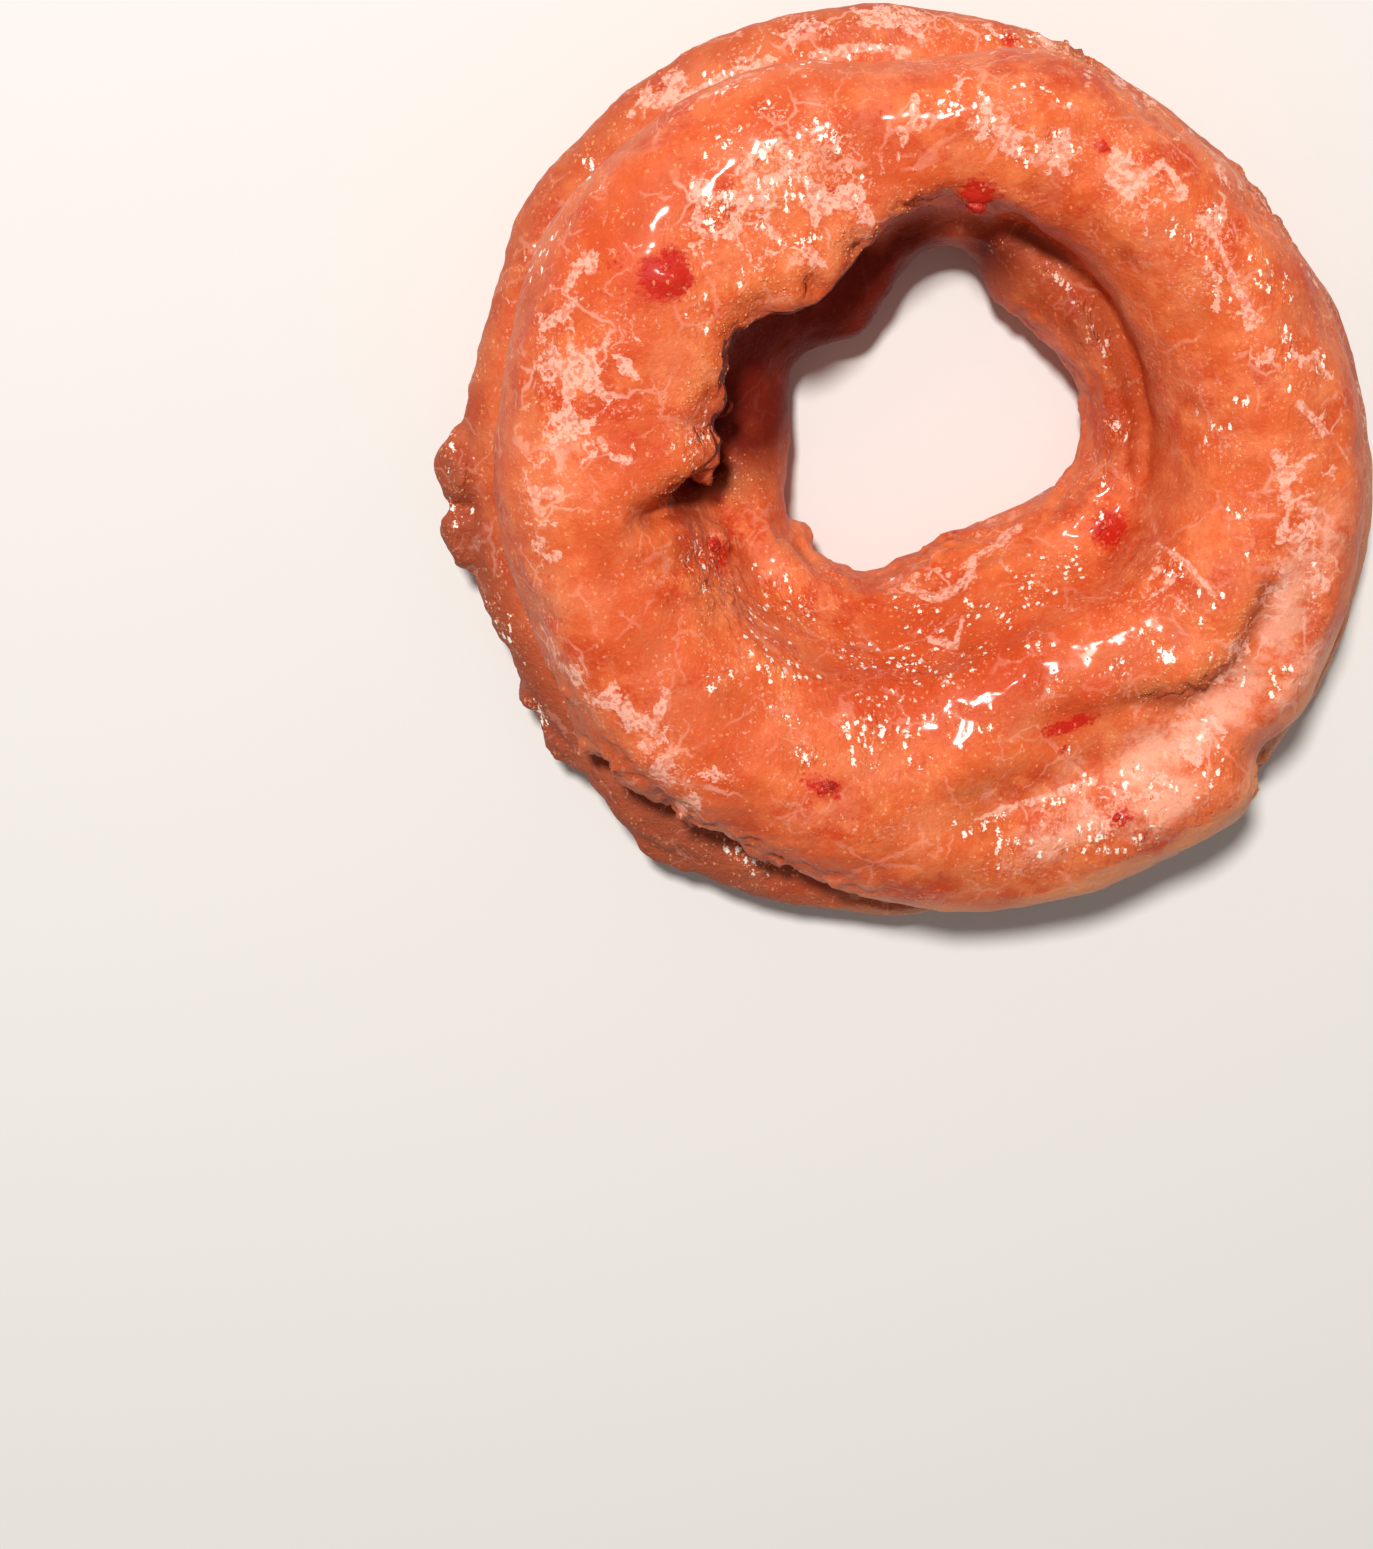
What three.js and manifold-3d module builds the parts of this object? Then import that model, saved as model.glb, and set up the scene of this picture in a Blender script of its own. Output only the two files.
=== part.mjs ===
// A large glazed cherry cake doughnut, lying on its flat side with its cracked side up.
// Millimetres, +Z up. The origin is under the middle of the doughnut, on the surface that it rests on.
// Degrees run anticlockwise round the ring as seen from above, from +X.

import * as THREE from "three";
import { mergeVertices } from "three/addons/utils/BufferGeometryUtils.js";
import Module from "manifold-3d";

// Driving dimensions

const HEIGHT = 33; // from the table to the crest of the ring
const SKIRT_HEIGHT = 9.5; // where the lower crust is widest
const WAIST_HEIGHT = 16.2; // the split between the lower and the upper crust
const BROW_HEIGHT = 20; // the edge of the upper crust, over the waist
const THROAT_HEIGHT = 8.5; // where the hole is narrowest
const FOOT_INSET = 13; // from the widest lower crust in to the flat that it rests on
const FOOT_OUTSET = 8.5; // from the throat out to that flat
const HEEL_HEIGHT = 2.6; // where the rounding up from the flat ends, outside and in the hole
const HEEL_INSET = 4.2; // from the widest lower crust in to the outer heel
const HEEL_OUTSET = 2.6; // from the throat out to the inner heel
const SKIRT_TOP_INSET = 1.4; // how far the lower crust's upper edge is drawn in
const SKIRT_TOP_RISE = 0.8; // how far that edge is above the middle between skirt and waist

const COLUMNS = 124; // round the ring
const CRUST_SEED = 7;
const TEAR_SEED = 21;
const CHERRY_SEED = 60;
const FLAKE_SEED = 80;

// Plan curves: [degrees, millimetres from the middle], joined by a smooth closed curve

const SKIRT = around([
  [0, 54.0], [18, 51.4], [45, 48.6], [65, 48.0], [90, 49.8], [125, 51.0], [165, 49.8],
  [195, 50.6], [215, 51.6], [236, 54.4], [268, 55.4], [300, 55.8], [318, 57.2], [340, 56.6],
]);
const BROW = around([
  [3, 50.6], [34, 47.6], [60, 46.6], [75, 46.2], [91, 43.8], [110, 46.4], [140, 48.0],
  [165, 46.6], [192, 45.9], [206, 45.7], [220, 47.5], [230, 47.9], [238, 46.8], [248, 46.4],
  [258, 48.4], [277, 52.6], [298, 55.2], [312, 56.6], [316, 56.0], [319, 52.2], [326, 53.4], [347, 52.0],
]);
const CREST = around([
  [0, 39.0], [45, 37.4], [80, 38.2], [110, 35.0], [150, 34.4], [190, 35.4], [225, 36.6],
  [260, 35.0], [290, 27.4], [306, 28.0], [322, 34.0], [342, 36.4],
]);
const LIP = around([
  [0, 28.4], [22, 27.6], [40, 28.8], [55, 29.0], [68, 29.6], [80, 30.7], [91, 28.9], [101, 25.0],
  [110, 22.8], [124, 21.8], [138, 24.6], [152, 23.2], [164, 22.4], [174, 22.8], [182, 27.2], [191, 24.4],
  [203, 24.8],
  [222, 24.6], [252, 22.6], [285, 21.0], [318, 22.6], [342, 27.6],
]);
const RECESS = around([
  [0, 26.9], [22, 26.1], [42, 27.3], [58, 28.0], [72, 28.2], [85, 27.6], [106, 23.8], [140, 24.6],
  [176, 23.4], [200, 20.4], [225, 20.2], [252, 18.5], [290, 16.2], [320, 18.0], [342, 25.2],
]);
const ROLL = around([
  [0, 24.0], [22, 23.8], [45, 23.8], [68, 25.4], [86, 23.6], [96, 18.6], [110, 16.4], [137, 18.4],
  [160, 16.4], [190, 16.6], [216, 17.2], [250, 16.2], [276, 13.4], [305, 13.2], [333, 18.4], [347, 22.0],
]);
const THROAT = around([
  [0, 20.9], [25, 21.2], [57, 20.0], [73, 23.4], [86, 22.0], [94, 16.0], [110, 12.8],
  [137, 14.8], [160, 12.8], [190, 13.2], [216, 14.8], [250, 14.6], [276, 11.8], [305, 11.2],
  [333, 15.4], [347, 19.0],
]);

// Heights of the same kind: [degrees, millimetres over the table]

const CREST_HEIGHT = around([
  [0, HEIGHT - 0.6], [60, HEIGHT - 1.2], [100, HEIGHT - 1.6], [150, HEIGHT - 0.4],
  [210, HEIGHT], [260, HEIGHT - 0.8], [300, HEIGHT - 2.4], [335, HEIGHT - 1.2],
]);
const LIP_HEIGHT = around([
  [0, 20.8], [40, 20.8], [58, 23.2], [75, 26.4], [100, 27.2], [140, 27.6], [175, 27.4], [192, 23.6],
  [220, 23.8], [290, 25.6], [330, 22.8],
]);
const RECESS_HEIGHT = around([
  [0, 16.6], [50, 16.2], [90, 17.0], [140, 18.4], [180, 17.2], [205, 16.2], [250, 17.6], [300, 18.2],
  [340, 16.8],
]);
const ROLL_HEIGHT = around([
  [0, 16.8], [30, 17.0], [60, 15.6], [85, 14.0], [140, 13.0], [176, 14.6], [192, 17.2], [210, 16.8],
  [250, 14.8], [300, 14.2], [335, 15.8],
]);

// How full the slopes from the crest are: a high value keeps level, then drops at the edge
const EDGE_ROUNDNESS = 2.1;
const OUTER_FULLNESS = 2.4;
const INNER_FULLNESS = around([
  [0, 1.5], [40, 1.6], [60, 2.2], [80, 3.2], [110, 4.0], [150, 4.2], [175, 4.0], [192, 2.4],
  [215, 1.8], [290, 1.6], [340, 1.5],
]);

// Where the stops between the crest and the lip are, as shares of the way
const INNER_SHARE = 0.5;
const EDGE_SHARE = 0.86;

// The furrow where the crust has cracked and its outer petal has dropped

const FURROW = around([
  [0, 43.5], [90, 40.6], [180, 40.6], [255, 42.0], [280, 38.8], [290, 37.2], [304, 37.6],
  [316, 40.2], [326, 42.8], [342, 42.4],
]);
const FURROW_DEPTH = hump(310, 42, 3.2);
const PETAL_DROP = hump(306, 38, 0.4);
const SHOULDER_SHARE = around([ // how far out the shoulder is between the furrow and the edge
  [0, 0.66], [90, 0.66], [180, 0.66], [262, 0.62], [284, 0.44], [308, 0.42], [324, 0.5], [342, 0.62],
]);
const LEDGE_WIDTH = around([
  [0, 2.6], [180, 3.0], [270, 6.0], [290, 7.6], [304, 7.2], [316, 4.6], [328, 3.4], [342, 3.0],
]);
const LEDGE_OVERHANG = 0.9; // how far the step under the torn ledge stands out from it
const LEDGE_SHARE = 0.62; // of the furrow's depth that the step takes
const WAIST_DEPTH = around([
  [0, 1.6], [60, 1.8], [100, 2.4], [150, 1.8], [200, 2.4], [235, 5.0], [262, 4.6], [300, 3.4],
  [318, 3.6], [340, 2.4],
]);

// Torn edges: how far the crust's edges wander in and out, and over what distance

const TEAR = { pitch: 3.1, lip: hump(148, 62, 1.3), brow: hump(238, 34, 1.5), ledge: hump(318, 26, 1.6) };

// Relief of the crust: [size of the lumps, height], in millimetres

const SWELLS = [[15, 0.7], [7.5, 0.45]];
const CRUMBS = [4.2, 0.9];
const SOUND_CRUST = 0.16; // how rough the crust is away from its torn places
const CRUMBLY = [ // degrees, distance from the middle, reach and how rough
  { angle: 196, radius: 23, reach: 9, rough: 1.2 },
  { angle: 225, radius: 22, reach: 8, rough: 0.6 },
  { angle: 290, radius: 20, reach: 9, rough: 0.5 },
  { angle: 325, radius: 39, reach: 7, rough: 0.7 },
  { angle: 230, radius: 52, reach: 11, rough: 0.9 },
  { angle: 75, radius: 50, reach: 9, rough: 0.6 },
];

// Torn flakes of crust that stand out of the ring. size is round the ring, away from it, and up.

const FLAKES = [
  { name: "left upper", angle: 180.8, radius: 50.0, height: 11, size: [4.7, 3.2, 3.4] },
  { name: "left lower", angle: 189.6, radius: 50.4, height: 10.5, size: [4.4, 3.1, 3.2] },
  { name: "hook", angle: 213, radius: 50.8, height: 9, size: [2.2, 2.0, 2.4] },
  { name: "tag", angle: 221, radius: 51.4, height: 9.5, size: [4.6, 2.6, 2.0] },
  { name: "shelf", angle: 239, radius: 53.4, height: 10.5, size: [5.6, 2.8, 1.8] },
  { name: "hole tongue", angle: 174.5, radius: 23.4, height: 26.6, size: [2.9, 2.8, 1.9] },
  { name: "hole crumb", angle: 162, radius: 22.8, height: 25.6, size: [2.4, 2.2, 1.8] },
  { name: "throat crumb", angle: 222, radius: 15.2, height: 9.5, size: [2.0, 1.6, 2.0] },
];

// Bits of cherry in the crust, which stand a little proud of it

const CHERRIES = [
  { name: "large", angle: 139.9, radius: 35.2, size: 3.0 },
  { name: "hole edge", angle: 79, radius: 31.6, size: 2.4 },
  { name: "top right", angle: 61.6, radius: 40.1, size: 1.7 },
  { name: "hole right", angle: 345.7, radius: 22.6, size: 2.6 },
  { name: "furrow", angle: 301.6, radius: 32.7, size: 2.4 },
  { name: "hole left", angle: 200.4, radius: 23.2, size: 2.2 },
  { name: "petal", angle: 300.5, radius: 45.3, size: 1.8 },
  { name: "lower left", angle: 253.1, radius: 35.0, size: 2.2 },
];
const CHERRY_SUNK = 0.62; // how much of a bit's own size is under the crust
const CHERRY_PROPORTIONS = [1, 0.85, 0.8]; // round the ring, away from it, and up
const CHERRY_ROUGHNESS = 0.2;
const FLAKE_ROUGHNESS = 0.45;
const CRAG_PITCH = 0.6; // size of the facets of a flake or bit, as a share of its half size
const LARGE_FLAKE = 3; // half its longest side, from which a flake has the finer surface

const wasm = await Module();
wasm.setup();

// Curves round the ring

/** The least signed turn between two angles, in degrees. */
function turn(from, to) {
  return THREE.MathUtils.euclideanModulo(to - from + 180, 360) - 180;
}

/** A smooth closed curve of a value round the ring, through [degrees, value] stops in order. */
function around(stops) {
  const count = stops.length;
  const stop = (i) => {
    const lap = Math.floor(i / count);
    const [angle, value] = stops[i - lap * count];
    return { angle: angle + 360 * lap, value };
  };
  const slope = (i) => {
    const before = stop(i - 1);
    const after = stop(i + 1);
    return (after.value - before.value) / (after.angle - before.angle);
  };
  return (degrees) => {
    const angle = THREE.MathUtils.euclideanModulo(degrees - stops[0][0], 360) + stops[0][0];
    let i = 0;
    while (stop(i + 1).angle <= angle) i++;
    const from = stop(i);
    const to = stop(i + 1);
    const span = to.angle - from.angle;
    const t = (angle - from.angle) / span;
    const rise = t * t * (3 - 2 * t);
    const leave = t * (1 - t) * (1 - t) * span * slope(i);
    const arrive = t * t * (1 - t) * span * slope(i + 1);
    return from.value * (1 - rise) + to.value * rise + leave - arrive;
  };
}

/** A value that is nothing round the ring but for one smooth rise, of this half width. */
function hump(middle, halfWidth, most) {
  return (degrees) => {
    const away = Math.min(1, Math.abs(turn(middle, degrees)) / halfWidth);
    return most * (1 - away * away) ** 2;
  };
}

// Relief

/** A repeatable value from -1 to 1 for a cell of space. */
function cell(x, y, z, seed) {
  let h = Math.imul(x, 374761393) ^ Math.imul(y, 668265263) ^ Math.imul(z, 2147483647 ^ seed * 7919);
  h = Math.imul(h ^ (h >>> 13), 1274126177);
  h = Math.imul(h ^ (h >>> 16), 2246822519);
  return ((h ^ (h >>> 15)) >>> 0) / 2147483648 - 1;
}

/** Smooth lumps in space, from about -1 to 1, of a given size. */
function lumps(point, size, seed) {
  const at = [point.x / size, point.y / size, point.z / size];
  const low = at.map(Math.floor);
  const [u, v, w] = at.map((value, i) => THREE.MathUtils.smootherstep(value - low[i], 0, 1));
  const corner = (i, j, k) => cell(low[0] + i, low[1] + j, low[2] + k, seed);
  const edge = (j, k) => THREE.MathUtils.lerp(corner(0, j, k), corner(1, j, k), u);
  const side = (k) => THREE.MathUtils.lerp(edge(0, k), edge(1, k), v);
  return THREE.MathUtils.lerp(side(0), side(1), w);
}

/** How far a torn edge of this radius wanders at this angle. */
function tear(degrees, radius, reach, seed) {
  const angle = THREE.MathUtils.degToRad(degrees);
  const point = new THREE.Vector3(Math.cos(angle) * radius, Math.sin(angle) * radius, 0);
  return reach(degrees) * (lumps(point, TEAR.pitch, seed) + 0.5 * lumps(point, TEAR.pitch / 2, seed + 1));
}

/** How far the crust stands out or in at a point: swells everywhere, and crumbs where it is torn. */
function relief(point) {
  let out = 0;
  SWELLS.forEach(([size, height], i) => {
    out += height * lumps(point, size, CRUST_SEED + i);
  });
  const [size, height] = CRUMBS;
  const rough = CRUMBLY.reduce((sum, zone) => {
    const middle = polar(zone.angle, zone.radius);
    const away = Math.hypot(point.x - middle.x, point.y - middle.y) / zone.reach;
    return sum + zone.rough * Math.exp(-away * away);
  }, SOUND_CRUST);
  out += height * rough * lumps(point, size, CRUST_SEED + 10);
  return out;
}

// The ring

function polar(degrees, radius, height = 0) {
  const angle = THREE.MathUtils.degToRad(degrees);
  return new THREE.Vector3(Math.cos(angle) * radius, Math.sin(angle) * radius, height);
}

/** Height of the upper crust at a distance from the middle: a quarter oval on each side of the crest. */
function dome(degrees, radius) {
  const crest = CREST(degrees);
  const top = CREST_HEIGHT(degrees);
  const outside = radius > crest;
  const end = outside ? BROW(degrees) : LIP(degrees);
  const foot = outside ? BROW_HEIGHT : LIP_HEIGHT(degrees);
  const fullness = outside ? OUTER_FULLNESS : INNER_FULLNESS(degrees);
  const away = THREE.MathUtils.clamp((radius - crest) / (end - crest), 0, 1);
  return foot + (top - foot) * (1 - away ** fullness) ** (1 / EDGE_ROUNDNESS);
}

/** The ring's section at an angle: stops at [distance from the middle, height], and steps to the next one. */
function section(degrees) {
  const skirt = SKIRT(degrees);
  const brow = BROW(degrees) + tear(degrees, BROW(degrees), TEAR.brow, TEAR_SEED);
  const lip = LIP(degrees) + tear(degrees, LIP(degrees), TEAR.lip, TEAR_SEED + 10);
  const crest = CREST(degrees);
  const throat = THROAT(degrees);
  const furrow = FURROW(degrees);
  const depth = FURROW_DEPTH(degrees);
  const ledge = furrow - LEDGE_WIDTH(degrees) + tear(degrees, furrow, TEAR.ledge, TEAR_SEED + 20);
  const step = ledge + LEDGE_OVERHANG;
  const shoulder = THREE.MathUtils.lerp(furrow, BROW(degrees), SHOULDER_SHARE(degrees));
  const inner = THREE.MathUtils.lerp(crest, lip, INNER_SHARE);
  const edge = THREE.MathUtils.lerp(crest, lip, EDGE_SHARE);
  return [
    { at: [throat + FOOT_OUTSET, 0], steps: 1 },
    { at: [skirt - FOOT_INSET, 0], steps: 2 },
    { at: [skirt - HEEL_INSET, HEEL_HEIGHT], steps: 2 },
    { at: [skirt, SKIRT_HEIGHT], steps: 2 },
    { at: [skirt - SKIRT_TOP_INSET, (SKIRT_HEIGHT + WAIST_HEIGHT) / 2 + SKIRT_TOP_RISE], steps: 2 },
    { at: [BROW(degrees) - WAIST_DEPTH(degrees), WAIST_HEIGHT], steps: 2 },
    { at: [brow, BROW_HEIGHT], steps: 3 },
    { at: [shoulder, dome(degrees, shoulder) - PETAL_DROP(degrees)], steps: 3 },
    { at: [furrow, dome(degrees, furrow) - depth], steps: 2 },
    { at: [step, dome(degrees, step) - depth * LEDGE_SHARE], steps: 1 },
    { at: [ledge, dome(degrees, ledge)], steps: 2 },
    { at: [crest, CREST_HEIGHT(degrees)], steps: 3 },
    { at: [inner, dome(degrees, inner)], steps: 2 },
    { at: [edge, dome(degrees, edge)], steps: 2 },
    { at: [lip, LIP_HEIGHT(degrees)], steps: 2 },
    { at: [RECESS(degrees), RECESS_HEIGHT(degrees)], steps: 2 },
    { at: [ROLL(degrees), ROLL_HEIGHT(degrees)], steps: 2 },
    { at: [throat, THROAT_HEIGHT], steps: 2 },
    { at: [throat + HEEL_OUTSET, HEEL_HEIGHT], steps: 2 },
  ];
}

/** The ring without its flakes: a torus whose every cross-section is drawn again, then roughened. */
function ringGeometry() {
  const steps = section(0).map((stop) => stop.steps);
  const rows = steps.reduce((sum, n) => sum + n, 0);
  const geometry = new THREE.TorusGeometry(1, 0.5, rows, COLUMNS);
  const position = geometry.getAttribute("position");
  for (let column = 0; column <= COLUMNS; column++) {
    const degrees = (360 * (column % COLUMNS)) / COLUMNS;
    const stops = section(degrees).map(({ at }) => new THREE.Vector3(at[0], at[1], 0));
    const curve = new THREE.CatmullRomCurve3(stops, true, "centripetal");
    let row = 0;
    steps.forEach((count, i) => {
      for (let step = 0; step < count; step++, row++) {
        const { x: radius, y: height } = curve.getPoint((i + step / count) / stops.length);
        const place = polar(degrees, radius, Math.max(height, 0));
        position.setXYZ(row * (COLUMNS + 1) + column, place.x, place.y, place.z);
      }
    });
    const first = new THREE.Vector3().fromBufferAttribute(position, column);
    position.setXYZ(rows * (COLUMNS + 1) + column, first.x, first.y, first.z);
  }
  geometry.deleteAttribute("normal");
  geometry.deleteAttribute("uv");
  const merged = mergeVertices(geometry, 1e-4);
  merged.computeVertexNormals();
  roughen(merged);
  return merged;
}

/** Moves each point along its normal by the relief, which fades out on the flat foot. */
function roughen(geometry) {
  const position = geometry.getAttribute("position");
  const normal = geometry.getAttribute("normal");
  const point = new THREE.Vector3();
  const out = new THREE.Vector3();
  for (let i = 0; i < position.count; i++) {
    point.fromBufferAttribute(position, i);
    out.fromBufferAttribute(normal, i);
    const share = THREE.MathUtils.smoothstep(point.z, 0, HEEL_HEIGHT * 2);
    point.addScaledVector(out, relief(point) * share);
    position.setXYZ(i, point.x, point.y, Math.max(point.z, 0));
  }
  geometry.deleteAttribute("normal");
}

// Pieces that are fused to the ring

/** A closed rough lump of these half sizes, with its long side round the ring. */
function crag({ angle, radius, height, size }, detail, roughness, seed) {
  const geometry = new THREE.IcosahedronGeometry(1, detail);
  geometry.deleteAttribute("normal");
  geometry.deleteAttribute("uv");
  const merged = mergeVertices(geometry, 1e-4);
  const position = merged.getAttribute("position");
  const point = new THREE.Vector3();
  for (let i = 0; i < position.count; i++) {
    point.fromBufferAttribute(position, i);
    point.multiplyScalar(1 + roughness * lumps(point, CRAG_PITCH, seed));
    position.setXYZ(i, point.x * size[1], point.y * size[0], point.z * size[2]);
  }
  merged.rotateZ(THREE.MathUtils.degToRad(angle));
  const place = polar(angle, radius, height);
  return merged.translate(place.x, place.y, place.z);
}

function solid(geometry) {
  return new wasm.Manifold(
    new wasm.Mesh({
      numProp: 3,
      vertProperties: geometry.getAttribute("position").array,
      triVerts: new Uint32Array(geometry.index.array),
    }),
  );
}

function geometryOf(manifold) {
  const mesh = manifold.getMesh();
  const geometry = new THREE.BufferGeometry();
  geometry.setAttribute("position", new THREE.BufferAttribute(new Float32Array(mesh.vertProperties), 3));
  geometry.setIndex(new THREE.BufferAttribute(new Uint32Array(mesh.triVerts), 1));
  return geometry;
}

/** Height of the ring's upper side at an angle and a distance from the middle. */
function heightOn(ring, angle, radius) {
  const above = polar(angle, radius, 2 * HEIGHT);
  const down = new THREE.Vector3(0, 0, -1);
  return new THREE.Raycaster(above, down).intersectObject(new THREE.Mesh(ring))[0].point.z;
}

/** The bits of cherry, each sunk in the crust that carries it. */
function cherrySolids(ring) {
  return CHERRIES.map(({ angle, radius, size }, i) => {
    const height = heightOn(ring, angle, radius) - size * CHERRY_SUNK;
    const sides = CHERRY_PROPORTIONS.map((share) => size * share);
    return solid(crag({ angle, radius, height, size: sides }, 1, CHERRY_ROUGHNESS, CHERRY_SEED + i));
  });
}

function flakeSolids() {
  return FLAKES.map((flake, i) => {
    const detail = Math.max(...flake.size) > LARGE_FLAKE ? 2 : 1;
    return solid(crag(flake, detail, FLAKE_ROUGHNESS, FLAKE_SEED + i));
  });
}

function doughnutGeometry() {
  const ring = ringGeometry();
  const pieces = [...flakeSolids(), ...cherrySolids(ring)];
  const fused = pieces.reduce((whole, piece) => whole.add(piece), solid(ring));
  const geometry = geometryOf(fused);
  geometry.computeBoundingBox();
  const middle = geometry.boundingBox.getCenter(new THREE.Vector3());
  geometry.translate(-middle.x, -middle.y, -geometry.boundingBox.min.z);
  geometry.computeVertexNormals();
  return geometry;
}

const glazedCrust = new THREE.MeshStandardMaterial({
  name: "glazed_crust",
  color: new THREE.Color("#dd6f44"),
  roughness: 0.28,
  metalness: 0,
});

const doughnut = new THREE.Mesh(doughnutGeometry(), glazedCrust);
doughnut.name = "doughnut";

const part = new THREE.Group();
part.name = "cherry_cake_doughnut";
part.add(doughnut);

export default part;
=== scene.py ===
"""Dresses a large glazed cherry cake doughnut that lies on its flat side with its cracked side up."""

import logging
import math
from dataclasses import dataclass, field
from enum import Enum
from typing import Iterable, Sequence, Union

import bpy
import numpy as np
from mathutils import Matrix, Vector


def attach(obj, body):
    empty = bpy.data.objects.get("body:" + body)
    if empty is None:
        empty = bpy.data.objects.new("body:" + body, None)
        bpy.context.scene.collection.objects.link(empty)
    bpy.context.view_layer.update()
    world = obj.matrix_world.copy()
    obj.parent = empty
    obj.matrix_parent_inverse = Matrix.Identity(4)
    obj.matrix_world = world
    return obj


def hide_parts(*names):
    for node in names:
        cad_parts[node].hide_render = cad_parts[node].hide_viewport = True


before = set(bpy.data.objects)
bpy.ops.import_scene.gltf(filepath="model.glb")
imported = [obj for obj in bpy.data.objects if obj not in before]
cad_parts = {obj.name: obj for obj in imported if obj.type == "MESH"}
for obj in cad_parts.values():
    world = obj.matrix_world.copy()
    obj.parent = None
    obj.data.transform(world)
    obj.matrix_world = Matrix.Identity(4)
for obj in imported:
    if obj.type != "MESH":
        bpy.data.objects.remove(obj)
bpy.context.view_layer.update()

log = logging.getLogger("doughnut")

MM = 0.001
NODE = "doughnut"
BODY = "root"
RING_MIDDLE = Vector((-0.697, 2.984, 0.0)) * MM  # the ring's own circles are centred here

Colour = tuple[float, float, float, float]


def colour(code: str) -> Colour:
    """Turns a colour code as seen on a screen into the linear colour that a shader takes.

    Args:
        code: Six hexadecimal digits, red, green and blue.

    Returns:
        Red, green, blue and a full alpha.
    """
    shares = [int(code[i : i + 2], 16) / 255 for i in (0, 2, 4)]
    linear = [s / 12.92 if s <= 0.04045 else ((s + 0.055) / 1.055) ** 2.4 for s in shares]
    return (*linear, 1.0)


class Field(Enum):
    """The values that are painted on the crust's points, by their attribute names."""

    SUGAR = "dried_sugar"
    STREAK = "sugar_streak"
    STAIN = "cherry_stain"
    TORN = "torn_crumb"
    # pale pink glaze, made paler and stronger on the petal and right edge as painted light
    PINK_AND_PAINTED_LIGHT = "pink_glaze_and_painted_light"
    # the lower crust's own brown, and painted shade on the left flank
    FLANK_AND_SHADE = "outer_flank_and_shade"
    # painted shade on the hole's wall, under its lip
    WALL = "painted_hole_shade"
    SHADE = "shaded_wall"
    # deeper orange: partly the crust's own tone, partly painted shade
    DEEP_AND_SHADE = "deep_orange_and_shade"
    # painted shade in sunk places and along the cracks and folds
    HOLLOW_SHADE = "hollow_shade"
    WET = "wet_glaze"
    # painted glints: pale flecks that stand in for the glaze's highlights
    GLINT = "painted_glints"
    # the petal's rim: smooth orange without pink glaze, made lighter as painted light where it turns from
    # the key light
    RIM_AND_PAINTED_LIGHT = "petal_rim_and_painted_light"


# Places and painted patches


def on_table(degrees: float, radius: float) -> Vector:
    """Gives the place at an angle round the ring and a distance in millimetres, in metres.

    Args:
        degrees: The angle from +X.
        radius: How far it is from the ring's middle.

    Returns:
        The place, on the table.
    """
    angle = math.radians(degrees)
    return RING_MIDDLE + Vector((math.cos(angle), math.sin(angle), 0)) * radius * MM


@dataclass(frozen=True)
class Patch:
    """A soft-edged oval on the ring, seen from above, where something is stronger."""

    degrees: float  # round the ring from +X
    radius: float  # from the ring's middle, in millimetres
    along: float  # half its size round the ring, in millimetres
    across: float  # half its size away from the middle, in millimetres
    strength: float = 1.0
    slant: float = 0.0  # degrees that it is turned by, anticlockwise

    def weights(self, points: np.ndarray) -> np.ndarray:
        """Works out how much of the patch reaches each point.

        Args:
            points: Points in metres, a row each.

        Returns:
            One value from 0 to the patch's strength for each point.
        """
        angle = math.radians(self.degrees + self.slant)
        away = points[:, :2] - np.array(on_table(self.degrees, self.radius))[:2]
        out = away @ np.array([math.cos(angle), math.sin(angle)]) / (self.across * MM)
        round_ = away @ np.array([-math.sin(angle), math.cos(angle)]) / (self.along * MM)
        return self.strength * np.exp(-(out**2) - round_**2)


def patches(*rows: tuple[float, ...]) -> tuple[Patch, ...]:
    """Makes patches from rows of their values: degrees, radius, along, across, strength, slant."""
    return tuple(Patch(*row) for row in rows)


def strongest(places: Iterable[Union[Patch, "Streak", "Press"]], points: np.ndarray) -> np.ndarray:
    """Gives each point the value of whichever place is strongest there."""
    return np.max([place.weights(points) for place in places], axis=0)


def ramp(values: np.ndarray, start: float, end: float) -> np.ndarray:
    """Rises straight from 0 at one value to 1 at another, which may be the lower one."""
    return np.clip((values - start) / (end - start), 0, 1)


@dataclass(frozen=True)
class Streak:
    """A streak of something along a line over the crust."""

    line: tuple[tuple[float, float], ...]  # degrees round the ring, and millimetres from its middle
    width: float  # half of it, in millimetres

    def weights(self, points: np.ndarray) -> np.ndarray:
        """Works out how near each point is to the line.

        Args:
            points: Points in metres, a row each.

        Returns:
            One value from 0 to 1 for each point.
        """
        corners = np.array([on_table(*place)[:2] for place in self.line])
        flat = points[:, :2]
        nearest = np.full(len(flat), np.inf)
        for start, end in zip(corners[:-1], corners[1:]):
            run = end - start
            share = np.clip((flat - start) @ run / (run @ run), 0, 1)
            nearest = np.minimum(nearest, np.linalg.norm(flat - start - share[:, None] * run, axis=1))
        return np.exp(-((nearest / (self.width * MM)) ** 2))


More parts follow.
